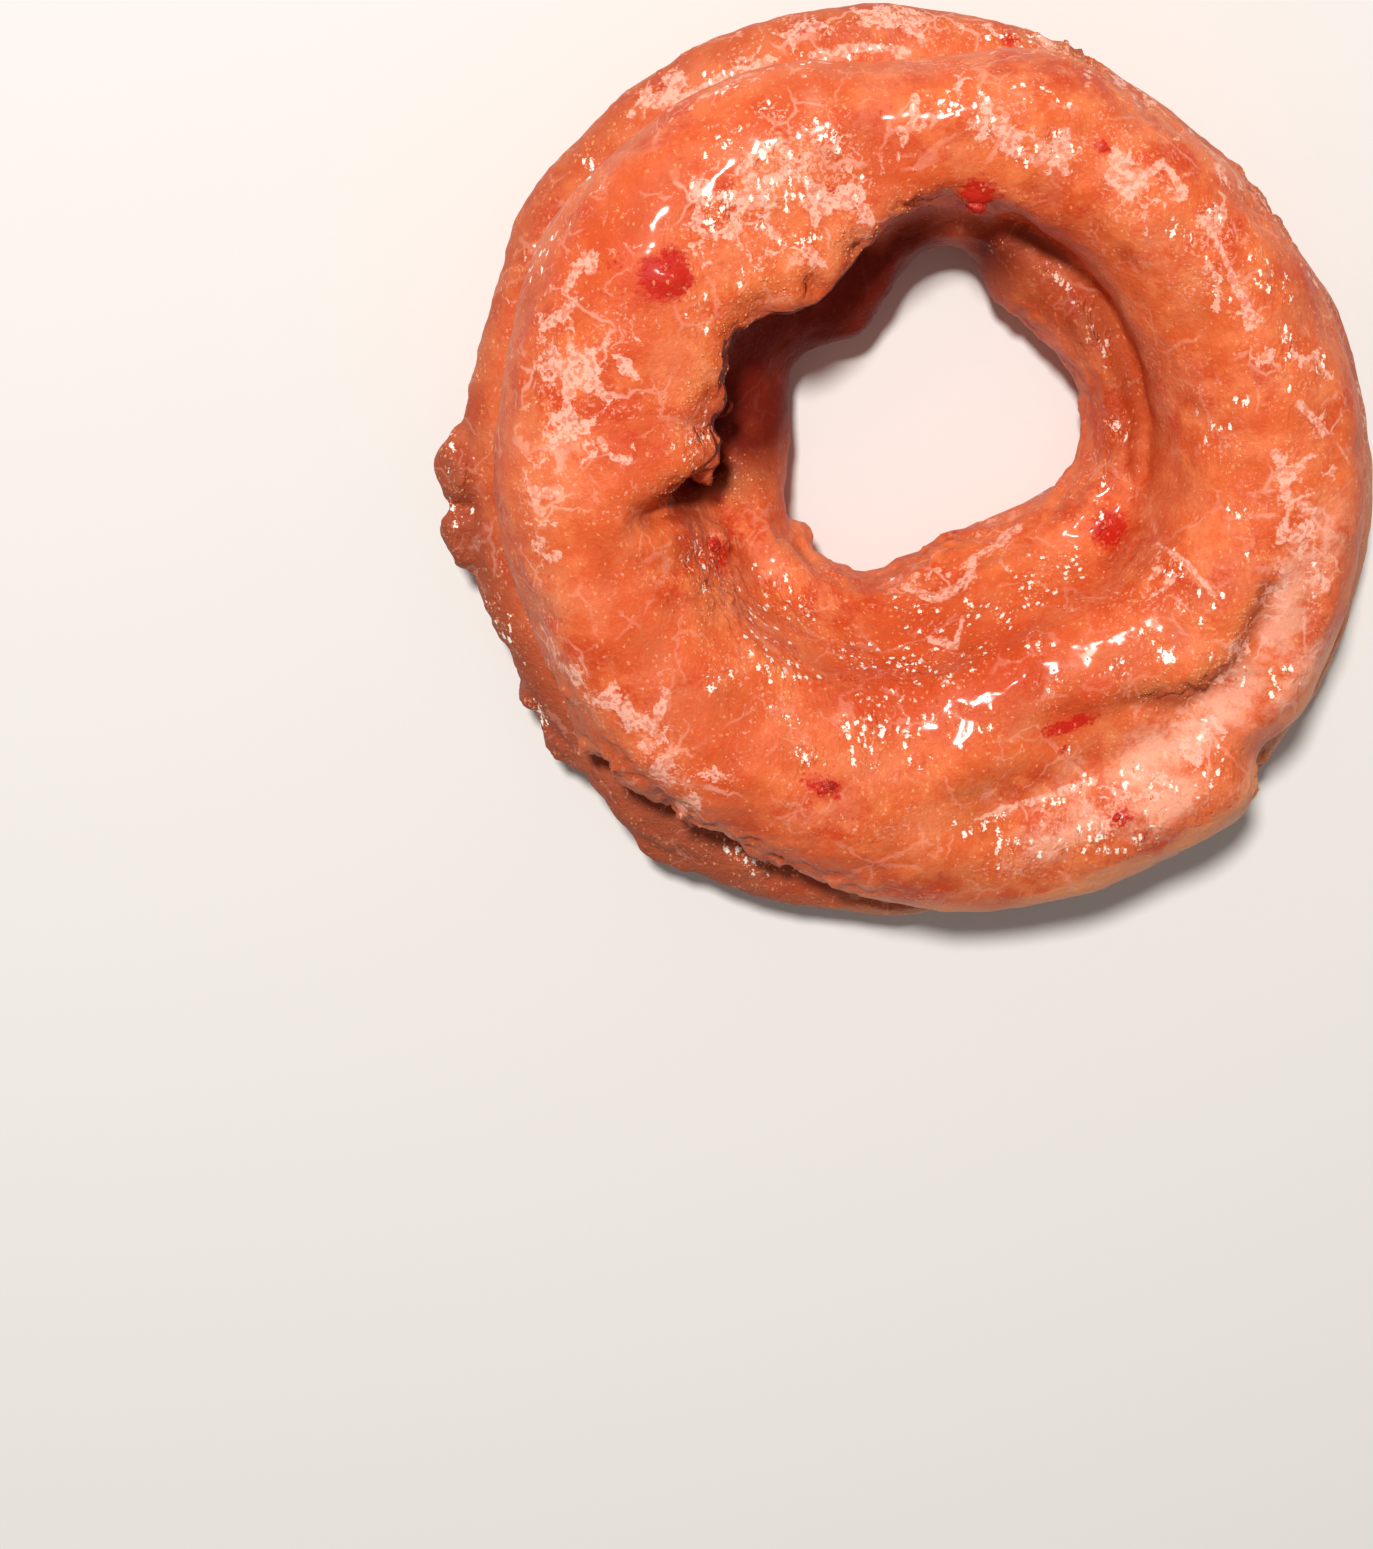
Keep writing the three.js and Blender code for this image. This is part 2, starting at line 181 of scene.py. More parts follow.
SUGAR_PATCHES = patches(
    (152, 43, 7.8, 2.1, 0.95), (160, 38.5, 6.5, 6, 1.15), (155.5, 35.1, 3.9, 3.4, 0.9),
    (168.5, 38.7, 5.5, 3.9), (181, 40, 6.5, 2.6, 0.95), (188, 40.9, 4.2, 2.3, 0.9),
    (203.9, 44.4, 4, 2.1), (209.8, 42.1, 4, 1.6), (213.6, 41.4, 2.6, 2.4),
    (221, 40, 4.4, 2.4), (227, 41.4, 4.4, 2.6, 1.1), (234, 43.2, 2, 2.6, 0.9),
    (234, 39, 3.4, 1.8, 0.9), (112, 37.1, 5.5, 4.2), (106, 32.6, 4.4, 6, 1.1),
    (124.7, 35.2, 5.5, 4.2, 1.05), (125.4, 40, 4.4, 2.6, 0.8), (120.7, 31.2, 4.2, 3.4, 0.9),
    (101.8, 28.8, 3.4, 3.1, 0.8), (114.4, 27.1, 3.4, 2.6, 0.8), (87.5, 40, 4.7, 1.7, 0.95, 35),
    (78.5, 38, 5.5, 1.8, 1, -28), (69, 37.4, 3.9, 2.1), (57, 39.3, 3.4, 3.4, 0.8),
    (51, 40.7, 3.4, 1.8, 0.8), (42.1, 42, 3.4, 2.4, 1.05), (32.8, 37.7, 3.4, 2.2, 0.9),
    (24, 38.8, 6.5, 2.1, 0.95), (16, 42.6, 3.9, 2.6, 0.85), (5, 43.5, 4.4, 2.4, 0.85),
    (359.3, 40, 8.5, 2.4, 0.75), (350.5, 41.3, 6, 2.6, 0.7), (337.5, 29.5, 3.1, 2.6, 0.75),
    (284, 14.6, 5.2, 1.7, 0.9), (320, 13.8, 3.9, 1.7, 0.95, 30), (338, 16.2, 3.1, 1.6, 0.9),
    (287, 42, 6, 3, 0.6), (296, 44, 6, 3.6, 0.75), (305, 43.6, 5, 3, 0.8), (315, 44, 5, 2.4, 0.85),
    (331, 40.4, 5, 1.8, 0.85), (343, 41, 6, 2, 0.85), (344, 45.6, 4, 2, 0.8), (123, 48.8, 6, 2.3, 0.95),
    (104, 47.8, 7.8, 3.1, 0.8), (90, 47.6, 7, 2.9, 0.95), (80, 47, 6, 2.1, 0.8),
    (68.7, 47.6, 7, 2.1, 1.1), (59, 47.2, 4.4, 2, 0.95), (47, 46.6, 6, 2.1, 0.95), (32, 48.3, 7, 2),
    (22, 50.1, 5.2, 1.8, 0.95), (4, 52.8, 7.8, 1.6, 0.9),
)
# pale pink glaze, made paler and stronger on the petal and right edge as painted light
PINK_AND_PAINTED_LIGHT_PATCHES = patches(
    (284, 37, 6, 4, 0.5), (296, 39, 7, 4, 0.6), (310, 41, 7, 4.2, 1.15), (324, 43, 7, 3.8, 1.25),
    (338, 43.6, 7, 3.8, 1.2), (350, 44.5, 7, 4, 0.9), (341, 42.4, 6, 2.6, 1.2), (292, 43.5, 8, 4, 0.9),
    (306, 46.5, 8, 4), (330, 48, 9, 3.6, 0.9), (57, 38.6, 3.4, 3, 0.7), (105, 41.4, 3, 3, 0.6),
    (175, 45, 12, 2.4, 0.3),
)
STAIN_PATCHES = patches(
    (139.8, 35.4, 3.4, 3, 1.4), (141, 36.4, 6, 5.4, 0.5), (78, 30.6, 2.6, 2.8, 1.2),
    (61.9, 40, 1.3, 0.9), (340.6, 24.4, 2.6, 2.2, 1.15), (301.6, 32.4, 4, 1.3, 1, -12),
    (298.4, 34.7, 1.4, 0.9, 0.8), (202, 23.4, 3.2, 2.2, 0.85), (300.5, 45, 2.4, 1.6, 0.7),
    (252.8, 34.9, 3.6, 1.6, 0.8), (75.9, 47, 1.4, 0.9, 0.9), (251, 23, 4, 1.6, 0.45),
    (106.5, 32.5, 1.2, 1, 0.6), (284, 27, 3, 2, 0.4),
)
SUGAR_STREAKS = (
    Streak(((269, 14.6), (275, 15.4), (282, 16.2), (293, 15.8), (300, 15.2), (305, 14.2)), 0.54),
    Streak(((305, 14.2), (315, 14.8), (327, 15.8)), 0.43),
    Streak(((277, 19.6), (284, 20.4), (289, 18.5)), 0.36),
    Streak(((81, 40.7), (79, 38.1), (75, 36.3), (70, 36.0), (69, 37.6), (68, 39.8)), 0.68),
    Streak(((120, 38.5), (116, 39.1), (112, 39.4)), 0.54),
    Streak(((112, 38.3), (112, 35.5), (109, 33.1), (104, 30.6)), 0.61),
    Streak(((94, 34.3), (93, 36.3), (91, 38.5), (91, 40.8)), 0.36),
    Streak(((59, 37.6), (54, 37.3), (54, 39.4), (53, 42.1), (48, 41.0)), 0.54),
    Streak(((42, 40.4), (38, 40.0), (31, 39.1), (26, 39.2)), 0.43),
    Streak(((4, 38.3), (360, 39.3), (355, 40.3), (350, 39.7)), 0.65),
    Streak(((17, 44.2), (13, 45.5)), 0.43),
    Streak(((11, 41.5), (6, 44.0)), 0.50),
    Streak(((170, 34.8), (173, 33.3), (173, 31.4)), 0.50),
    Streak(((343, 28.4), (342, 30.7), (338, 34.9)), 0.43),
    Streak(((280, 38.8), (290, 38.8), (300, 40.0)), 0.50),
    Streak(((122, 47.2), (115, 46.6), (109, 46.4)), 0.65),
    Streak(((103, 45.4), (96, 45.4), (90, 44.6)), 0.72),
    Streak(((216, 39.8), (222, 39.5), (218, 35.3)), 0.79),
)
TORN_PATCHES = patches(
    (92, 30, 4.6, 2, 0.55), (108, 27, 5, 2.4, 0.6), (122, 26.4, 5, 2.6, 0.65),
    (137, 27.4, 5, 2.6, 0.65), (152, 26.4, 5, 2.8, 0.7), (168, 26, 4.6, 3.4, 0.5),
    (178, 27, 4, 3.6, 0.5), (200, 26, 4, 2.4, 0.35), (208, 26.5, 6, 4.4, 0.6), (188, 19, 3.6, 3, 0.7),
    (311, 27.6, 7, 2.2, 0.5), (317, 35, 3.6, 2.2, 0.75), (325, 38, 4.6, 2, 0.8),
    (336, 38.4, 4.6, 1.8, 0.7), (68, 48.4, 6, 2, 0.8), (34, 48.6, 8, 1.8, 0.5),
    (318.5, 55, 2.6, 2.6, 0.9),
)
BROW_PATCHES = patches(
    (212, 46.5, 6, 3, 0.6), (224, 46.5, 6, 3), (236, 46.5, 6, 3), (248, 46.5, 6, 3),
    (259, 47.5, 5, 3, 0.7), (56, 46.5, 6, 2.4, 0.6), (36, 47.5, 6, 2.4, 0.5),
)
ROUGH_PATCHES = patches(
    (118, 51, 9, 2.4, 0.3), (134, 50.8, 9, 2.4, 0.35), (150, 50.8, 9, 2.6, 0.4), (168, 51, 9, 3, 0.5),
    (188, 51.5, 9, 3, 0.6), (205, 52, 9, 3.4, 0.6), (222, 52.5, 9, 3.6, 0.55), (238, 52.5, 9, 4, 0.55),
    (254, 52.5, 9, 4, 0.5), (268, 53, 9, 3.4, 0.4), (226, 13.6, 6, 3.6), (248, 12.8, 6, 3.6),
    (274, 12.4, 6, 3.4), (300, 12.4, 6, 3.4), (320, 13.4, 5, 3.4, 0.9), (350, 19, 7, 3.4, 0.7),
    (18, 20.6, 7, 3.4, 0.7), (44, 20.6, 7, 3.4, 0.7),
)
GLINT_PATCHES = patches(
    (126, 36.9, 2.6, 2.4, 1.5), (120, 41.5, 2, 0.9, 1.1), (116, 39, 3, 2),
    (139, 31.3, 1.6, 0.9, 1.1), (143, 29.3, 1.6, 0.9), (131, 29, 2, 1.4, 0.8), (169, 24, 2.6, 2),
    (112, 43.2, 1.4, 1.6, 0.9), (107, 40, 1, 1, 1.2), (105, 37.2, 2, 2), (86, 39.6, 2.2, 1, 1.6),
    (81, 40.6, 1, 1.2, 1.3), (80, 38.3, 1, 1, 1.1), (69, 38.3, 2, 1.5, 1.6), (73, 36, 1.2, 0.9, 1.2),
    (116, 29.4, 2.6, 1.2, 1.2), (116, 34.5, 3.6, 2.6, 0.9), (100, 32, 3, 3, 0.6),
    (75, 42.4, 3, 1.2, 0.8), (44, 37.8, 2, 1.2, 1.3), (43, 41.3, 1.4, 1.2, 1.3),
    (39, 37.9, 1.6, 1, 1.2), (33, 37.6, 2, 1.2, 1.1), (32, 41.9, 2.6, 1.8, 1.1),
    (27, 43.7, 1.6, 1.4), (20, 41.9, 2.2, 1.4, 1.1), (14, 45.1, 2, 1.2, 1.1), (16, 39.9, 1, 1, 1.1),
    (12, 34.7, 2, 1.4, 0.95), (5, 33.6, 3.2, 2, 0.8), (353, 34.9, 1.6, 1.2, 1.3),
    (347, 36.8, 1.6, 1), (31, 24.8, 3, 1, 1.1), (8, 24, 1.6, 1.2, 1.3), (352, 23, 2, 1.4, 0.8),
    (345, 23.2, 1.6, 1.4, 1.3), (51, 26, 2.4, 0.9, 1.4), (40, 26, 2.4, 1), (67, 25.6, 1.2, 1, 0.9),
    (200, 25, 3.4, 1.6, 0.9), (222, 20, 2.6, 2.2, 0.95), (225, 23.5, 3, 2.4, 0.9),
    (234, 20.4, 2.4, 2, 0.95), (235, 25.5, 3.4, 2.2), (223, 30.6, 2.4, 1.4),
    (254, 21.6, 3, 2.4, 0.85), (274, 17, 3.4, 2.4, 0.85), (270, 21.6, 3.4, 1.6, 1.25),
    (294, 17.8, 1, 1, 1.4), (303, 19.4, 2, 1.6, 0.9), (279, 22.4, 2, 1.4, 1.1),
    (289, 21.6, 2.4, 1.2, 0.95), (316, 19.8, 2.6, 1.8, 1.15), (327, 22.2, 1.4, 1.2, 1.4),
    (306, 23, 2.4, 1.4, 0.85), (305, 27.4, 1.4, 0.9, 1.1), (262, 25, 4, 1.6, 0.95),
    (278, 26, 6, 1.8, 0.8), (240, 29.6, 2.6, 1, 1.5), (254, 28, 2, 1.6, 1.2), (259, 28, 2.2, 1.8, 1.7),
    (247, 31.9, 2.4, 1.2, 1.55), (259, 31.2, 3, 1, 1.3), (267, 28.6, 1.6, 2, 1.15),
    (271, 31, 3, 1, 1.25), (285, 28.3, 1.4, 1.2, 1.3), (278, 28.9, 1.4, 1.4, 0.95),
    (299, 34.5, 1.2, 0.8, 1.2), (325, 31, 2.4, 1.2, 1.2), (316, 30.2, 1.8, 1.2, 1.2),
    (324, 33.6, 1.6, 1.8, 1.7), (339, 30, 2, 1.2, 1.15), (328, 36.4, 4.6, 2, 0.85),
    (336, 34, 4, 2, 0.75), (344, 45.3, 2.6, 1.6, 1.3), (328, 42.8, 1.2, 1, 1.3),
    (330, 46.4, 2.2, 1.6, 1.1), (296, 39.6, 5.6, 0.9, 1.25), (306, 41.2, 2.4, 1, 1.2),
    (307, 45, 3, 2), (313, 47.4, 2.4, 1.2, 1.1), (317, 45.9, 1.2, 1.4),
    (281, 39.6, 3.4, 1.4, 1.25), (284, 43.4, 4, 2.6), (296, 46, 4.4, 2.6, 1.15),
    (302, 48.4, 3, 1.4), (115, 46.8, 2.4, 1.4), (94, 45, 3.6, 1.2, 1.15), (103, 45.2, 3, 1, 0.9),
    (76, 47.3, 6, 1.4, 0.85), (136, 47.9, 2.2, 1.4, 1.15), (148, 47, 5, 1.4, 0.8),
    (169, 49, 2.6, 1.4), (178, 51.4, 2, 1.6), (185, 50.8, 2.6, 1.4), (200, 49.6, 5, 1.2, 0.85),
    (215, 51.6, 2, 1.2, 1.2), (249, 50, 4.4, 1.4, 1.4),
)
# deeper orange: the crust's own deeper tones, and painted shade on the left, top and bottom, which the key
# light lights too strongly
DEEP_AND_SHADE_PATCHES = patches(
    (138, 41.5, 12, 4, 0.8), (150, 36, 5, 4, 0.5), (112, 42, 8, 2.6, 0.7), (103, 37.5, 2.6, 1.6, 0.7),
    (10, 34.5, 8, 3, 0.2), (95, 33.5, 5, 4, 0.7), (229, 34.6, 8, 5, 0.6), (208, 34, 8, 5, 0.6),
    (193, 35, 6, 4, 0.5), (172, 30.6, 6, 4, 0.7), (278, 18.5, 8, 3.4, 0.9), (60, 30, 5, 2.6, 0.6),
    (292, 23, 10, 5), (308, 30.5, 6, 2.8, 0.9), (268, 24, 8, 4.5), (240, 41, 10, 4, 0.5),
    (256, 45, 9, 3, 0.6),
)
# the petal's rim: its own orange, made lighter as painted light where it turns from the key light
RIM_AND_PAINTED_LIGHT_PATCHES = patches(
    (272, 55, 12, 6, 0.9), (292, 55, 12, 6, 1.1), (312, 56, 12, 6, 1.1), (332, 55, 12, 5, 1.1),
    (350, 54, 12, 4, 0.9),
)
# the lower crust's brown, which also stands in for the shade under the upper crust
FLANK_PATCH = Patch(215, 52, 50, 16)
# painted shade, in brown, on the upper crust's left flank, which faces away from the key light
BROWN_AND_SHADE_PATCHES = patches(
    (165, 47.4, 10, 2.4, 0.4), (180, 47, 10, 3, 0.5), (196, 46.8, 10, 3, 0.6), (214, 47, 10, 3.6, 0.8),
    (232, 47, 10, 3.8, 0.8), (247, 47, 8, 3, 0.6),
)
# how strong the painted shade on the hole's wall is, round the ring
SHADED_WALL = patches(
    (88, 20, 6, 9, 1.3), (106, 18, 8, 9, 1.5), (125, 18, 9, 9, 1.5), (145, 18, 9, 9, 1.5),
    (163, 19, 7, 9, 1.3), (178, 21, 4, 7, 0.8), (184, 24, 2.6, 5), (66, 24.5, 6, 6, 0.9),
    (52, 24.6, 7, 4, 0.6), (38, 25, 8, 3, 0.6), (20, 25.4, 8, 2.4, 0.5), (4, 25.2, 7, 2.2, 0.3),
)
LIP_HEIGHT = 27.0  # in millimetres, over which the hole's upper lip gets no painted shade
LIP_TOP = 32.0  # in millimetres, over which not even its curled edge is
WET_PATCHES = patches(
    (296, 45, 9, 4), (310, 48, 9, 4), (335, 47, 10, 4, 0.8), (112, 37, 9, 5, 0.9),
    (95, 38, 8, 4, 0.6), (252, 27, 8, 7, 0.6), (275, 25, 10, 8, 0.6), (298, 25, 9, 7, 0.5),
    (315, 28, 8, 5, 0.15), (205, 23, 8, 5, 0.8), (225, 24, 8, 6, 0.6), (126, 37, 7, 6, 0.8),
    (25, 40, 12, 4, 0.5), (5, 42, 12, 4, 0.5), (225, 52, 18, 3, 0.7), (255, 51, 12, 3, 0.8),
    (180, 50, 20, 2.4, 0.7), (140, 49, 20, 2.4, 0.7), (345, 24, 9, 4, 0.9), (30, 25, 9, 2.6, 0.9),
    (100, 47.5, 14, 3, 0.8), (45, 44, 12, 3, 0.7), (255, 38, 8, 4, 0.9),
)


@dataclass(frozen=True)
class Press:
    """A place where the crust is pushed in or pulled out, or a crack, fold or ridge along a line."""

    name: str
    place: Union[Patch, Streak]
    push: float  # in millimetres, outwards or up where it is above 0
    direction: str = "NORMAL"
    lowest: float = 0.0  # the height from which it reaches, in millimetres
    highest: float = 40.0

    def weights(self, points: np.ndarray) -> np.ndarray:
        """Works out how far it reaches, fading within a millimetre in height.

        Args:
            points: Points in metres, a row each.

        Returns:
            One value from 0 to 1 for each point.
        """
        height = points[:, 2] / MM
        reach = ramp(height, self.lowest - 1, self.lowest) * ramp(height, self.highest + 1, self.highest)
        return self.place.weights(points) * reach


UNDER_LIP = Streak(
    ((96, 24), (106, 22.6), (118, 21.6), (128, 22), (140, 23), (152, 22.8), (166, 22), (176, 23)), 2
)
INNER_FOLD = Streak(((68, 29), (52, 28), (40, 27.6), (22, 26.6), (8, 26.6), (355, 26.3)), 0.8)
LEDGE_CUT = Streak(
    ((313, 33.6), (317, 37), (320, 39.6), (325, 40.6), (331, 41.2), (337, 41), (341, 40.6)), 1.5
)
SHAPING = (
    Press("notch_over_tongue", Patch(164.5, 23.4, 1.6, 2.2, 1, 4), -2.4, "Z", 17),
    Press("tongue", Patch(173, 24, 2.6, 2.8), 0.9, "Z", 22),
    Press("nick_above", Patch(157.5, 23.5, 1.4, 1.8), -1.3, "Z", 17),
    Press("nick_top_left", Patch(131, 25.4, 1.8, 1.7), -1.1, "Z", 17),
    Press("nick_top", Patch(118, 23.6, 1.2, 1.8), -1.8, "Z", 17),
    Press("nick_top_right", Patch(104, 25.6, 1.2, 1.6), -1.6, "Z", 17),
    Press("under_tongue", Streak(((186, 29), (183, 25.4), (180, 21.8)), 1.5), -4.2, "Z", 14),
    Press("under_lip", UNDER_LIP, -2.6, "NORMAL", 20.5, 26),
    Press("inner_fold", INNER_FOLD, -1.3),
    Press("ledge_foot", Streak(((280, 33), (297, 33.8), (305, 35.2), (312, 37.4)), 2.8), 1.5, "Z", 20),
    Press("ledge_end_foot", Streak(((312, 37.4), (330, 42)), 1.5), 0.7, "Z", 20),
    Press("ledge_cut", LEDGE_CUT, -1.1, "Z", 20),
    Press("petal_end_top", Patch(313, 53, 5, 2.6), 1.6, "Z", 14),
    Press("left_tear_line", Streak(((226, 49), (236, 48), (248, 47.6), (256, 49)), 0.8), -1, "NORMAL", 14),
    Press("petal_top", Patch(303, 49.5, 15, 4.5), 2.4, "Z", 14),
    Press("right_petal_top", Patch(336, 48.5, 13, 4.5), 1.8, "Z", 14),
    Press("right_edge_top", Patch(5, 48.5, 13, 4), 1.2, "Z", 14),
    Press("crumb_slope_pit", Patch(207, 29.5, 1.8, 1.4), -0.8, "Z", 17),
)
MELTED = (
    Streak(((284, 31.8), (297, 32.8), (305, 34), (313, 36)), 3.4),
    Streak(((313, 35.6), (320, 38)), 1.2),
)


# Shader values


class Value:
    """A shader socket that holds a number, on which Python's operators add Math nodes."""

    def __init__(self, shading: "Shading", socket: bpy.types.NodeSocket) -> None:
        """Wraps a socket of a material that is being made."""
        self.shading = shading
        self.socket = socket

    def _math(self, operation: str, *terms: Union["Value", float]) -> "Value":
        """Adds one Math node, with what goes in given in order."""
        node = self.shading.node("ShaderNodeMath", {"operation": operation}, dict(enumerate(terms)))
        return Value(self.shading, node.outputs[0])

    def __add__(self, other: Union["Value", float]) -> "Value":
        """Adds."""
        return self._math("ADD", self, other)

    __radd__ = __add__

    def __sub__(self, other: Union["Value", float]) -> "Value":
        """Takes another value from this one."""
        return self._math("SUBTRACT", self, other)

    def __rsub__(self, other: float) -> "Value":
        """Takes this value from a number."""
        return self._math("SUBTRACT", other, self)

    def __mul__(self, other: Union["Value", float]) -> "Value":
        """Multiplies."""
        return self._math("MULTIPLY", self, other)

    __rmul__ = __mul__

    def most(self, other: Union["Value", float]) -> "Value":
        """Takes the higher of two values."""
        return self._math("MAXIMUM", self, other)

    def clamped(self) -> "Value":
        """Keeps the value from 0 to 1."""
        return self._math("MINIMUM", self._math("MAXIMUM", self, 0.0), 1.0)

    def step(self, low: float, high: float) -> "Value":
        """Rises smoothly from 0 at one value to 1 at another, which may be the lower one."""
        node = self.shading.node(
            "ShaderNodeMapRange",
            {"interpolation_type": "SMOOTHSTEP"},
            {"Value": self, "From Min": low, "From Max": high},
        )
        return Value(self.shading, node.outputs["Result"])


Socket = Union[Value, bpy.types.NodeSocket, float, Sequence[float]]


class Shading:
    """A material's node tree, made from Python expressions."""

    def __init__(self, name: str) -> None:
        """Starts an empty material.

        Args:
            name: The material's name.
        """
        self.material = bpy.data.materials.new(name)
        self.material.use_nodes = True
        self.tree = self.material.node_tree
        self.tree.nodes.clear()
        self.place = self.node("ShaderNodeTexCoord").outputs["Object"]

    def node(
        self,
        kind: str,
        settings: dict[str, object] | None = None,
        sockets: dict[str | int, Socket] | None = None,
    ) -> bpy.types.Node:
        """Adds one node.

        Args:
            kind: The node's type.
            settings: Its properties, which are set first.
            sockets: The values or links of its inputs, by name or number.

        Returns:
            The node.
        """
        made = self.tree.nodes.new(kind)
        for name, setting in (settings or {}).items():
            setattr(made, name, setting)
        for name, value in (sockets or {}).items():
            source = value.socket if isinstance(value, Value) else value
            if isinstance(source, bpy.types.NodeSocket):
                self.tree.links.new(source, made.inputs[name])
            else:
                made.inputs[name].default_value = source
        return made

    def painted(self, painted_field: Field) -> Value:
        """Reads a value that is painted on the piece's points."""
        node = self.node("ShaderNodeAttribute", {"attribute_name": painted_field.value})
        return Value(self, node.outputs["Fac"])

    def moved(self, seed: int, stretch: float = 1.0) -> bpy.types.NodeSocket:
        """Gives the object's coordinates, moved aside so that each pattern is another one.

        Args:
            seed: Which pattern it is.
            stretch: How many times longer than wide its lumps are, along Y.

        Returns:
            The coordinates.
        """
        aside = (seed * 0.37, seed * 0.11, seed * 0.23)
        narrowed = (1, 1 / stretch, 1)
        sockets = {0: self.place, 1: narrowed, 2: aside}
        return self.node("ShaderNodeVectorMath", {"operation": "MULTIPLY_ADD"}, sockets).outputs[0]

    def noise(
        self,
        size: float,
        seed: int,
        detail: float = 4.0,
        rough: float = 0.5,
        warp: float = 0.0,
        stretch: float = 1.0,
    ) -> Value:
        """Adds lumps of a size.

        Args:
            size: How large the lumps are, in millimetres.
            seed: Which pattern it is.
            detail: How many times finer lumps are added.
            rough: How strong the finer lumps are.
            warp: How much the pattern is swirled.
            stretch: How many times longer than wide the lumps are, along Y.

        Returns:
            A value from 0 to 1.
        """
        sockets = {
            "Vector": self.moved(seed, stretch),
            "Scale": 1 / (size * MM),
            "Detail": detail,
            "Roughness": rough,
            "Distortion": warp,
        }
        return Value(self, self.node("ShaderNodeTexNoise", {}, sockets).outputs[0])

    def cracks(self, size: float, seed: int, wander: float) -> Value:
        """Adds a net of lines between cells.

        Args:
            size: How large the cells are, in millimetres.
            seed: Which pattern it is.
            wander: How far the lines wander, in millimetres.

        Returns:
            The distance from the nearest line, as a share of the cells' size.
        """
        wobble = self.node("ShaderNodeTexNoise", {}, {"Vector": self.moved(seed), "Scale": 3 / (size * MM)})
        off = self.node(
            "ShaderNodeVectorMath",
            {"operation": "MULTIPLY_ADD"},
            {0: wobble.outputs["Color"], 1: (wander * MM,) * 3, 2: self.moved(seed + 1)},
        )
        cells = self.node(
            "ShaderNodeTexVoronoi",
            {"feature": "DISTANCE_TO_EDGE"},
            {"Vector": off.outputs[0], "Scale": 1 / (size * MM)},
        )
        return Value(self, cells.outputs["Distance"])

    def drops(self, size: float, seed: int, stretch: float, level: Value) -> Value:
        """Adds small drops with ragged edges.

        Args:
            size: How far apart they are at most, in millimetres.
            seed: Which pattern it is.
            stretch: How many times longer than wide they are, along Y.
            level: The share of the places that have one.

        Returns:
            1 on a drop and 0 off it.
        """
        sockets = {"Vector": self.moved(seed, stretch), "Scale": 1 / (size * MM)}
        cells = self.node("ShaderNodeTexVoronoi", {"feature": "F1"}, sockets)
        draw = Value(self, cells.outputs["Color"])
        ragged = self.noise(size * 0.45, seed + 40, 2.0) - 0.5
        near = (Value(self, cells.outputs["Distance"]) + ragged * 1.2).step(0.36, 0.24)
        return near * (level - draw).step(0.0, 0.08)

    def mix(self, share: Union[Value, float], first: Socket, second: Socket) -> bpy.types.NodeSocket:
        """Mixes two colours, where a share of 0 gives the first and 1 the second."""
        node = self.node("ShaderNodeMix", {"data_type": "RGBA"}, {0: share, 6: first, 7: second})
        return node.outputs[2]

    def layered(self, tint: Socket, *layers: tuple[Value, Colour]) -> Socket:
        """Lays colours over a first one, each by its share.

        Args:
            tint: The first colour.
            layers: The share and the colour of each one that lies over it.

        Returns:
            The colour.
        """
        for share, layer in layers:
            tint = self.mix(share, tint, layer)
        return tint

    def bump(self, height: Value, depth: float) -> bpy.types.NodeSocket:
        """Turns a height from 0 to 1 into a normal, where 1 stands a depth in millimetres high."""
        node = self.node("ShaderNodeBump", {}, {"Height": height, "Distance": depth * MM, "Strength": 1.0})
        return node.outputs["Normal"]

    def surface(self, **sockets: Socket) -> bpy.types.Material:
        """Ends the material with its surface.

        Args:
            sockets: The surface's inputs, by name, with spaces written as underscores.

        Returns:
            The material.
        """
        inputs = {name.replace("_", " "): value for name, value in sockets.items()}
        shader = self.node("ShaderNodeBsdfPrincipled", {}, inputs)
        self.node("ShaderNodeOutputMaterial", {}, {"Surface": shader.outputs[0]})
        return self.material


# Finishes


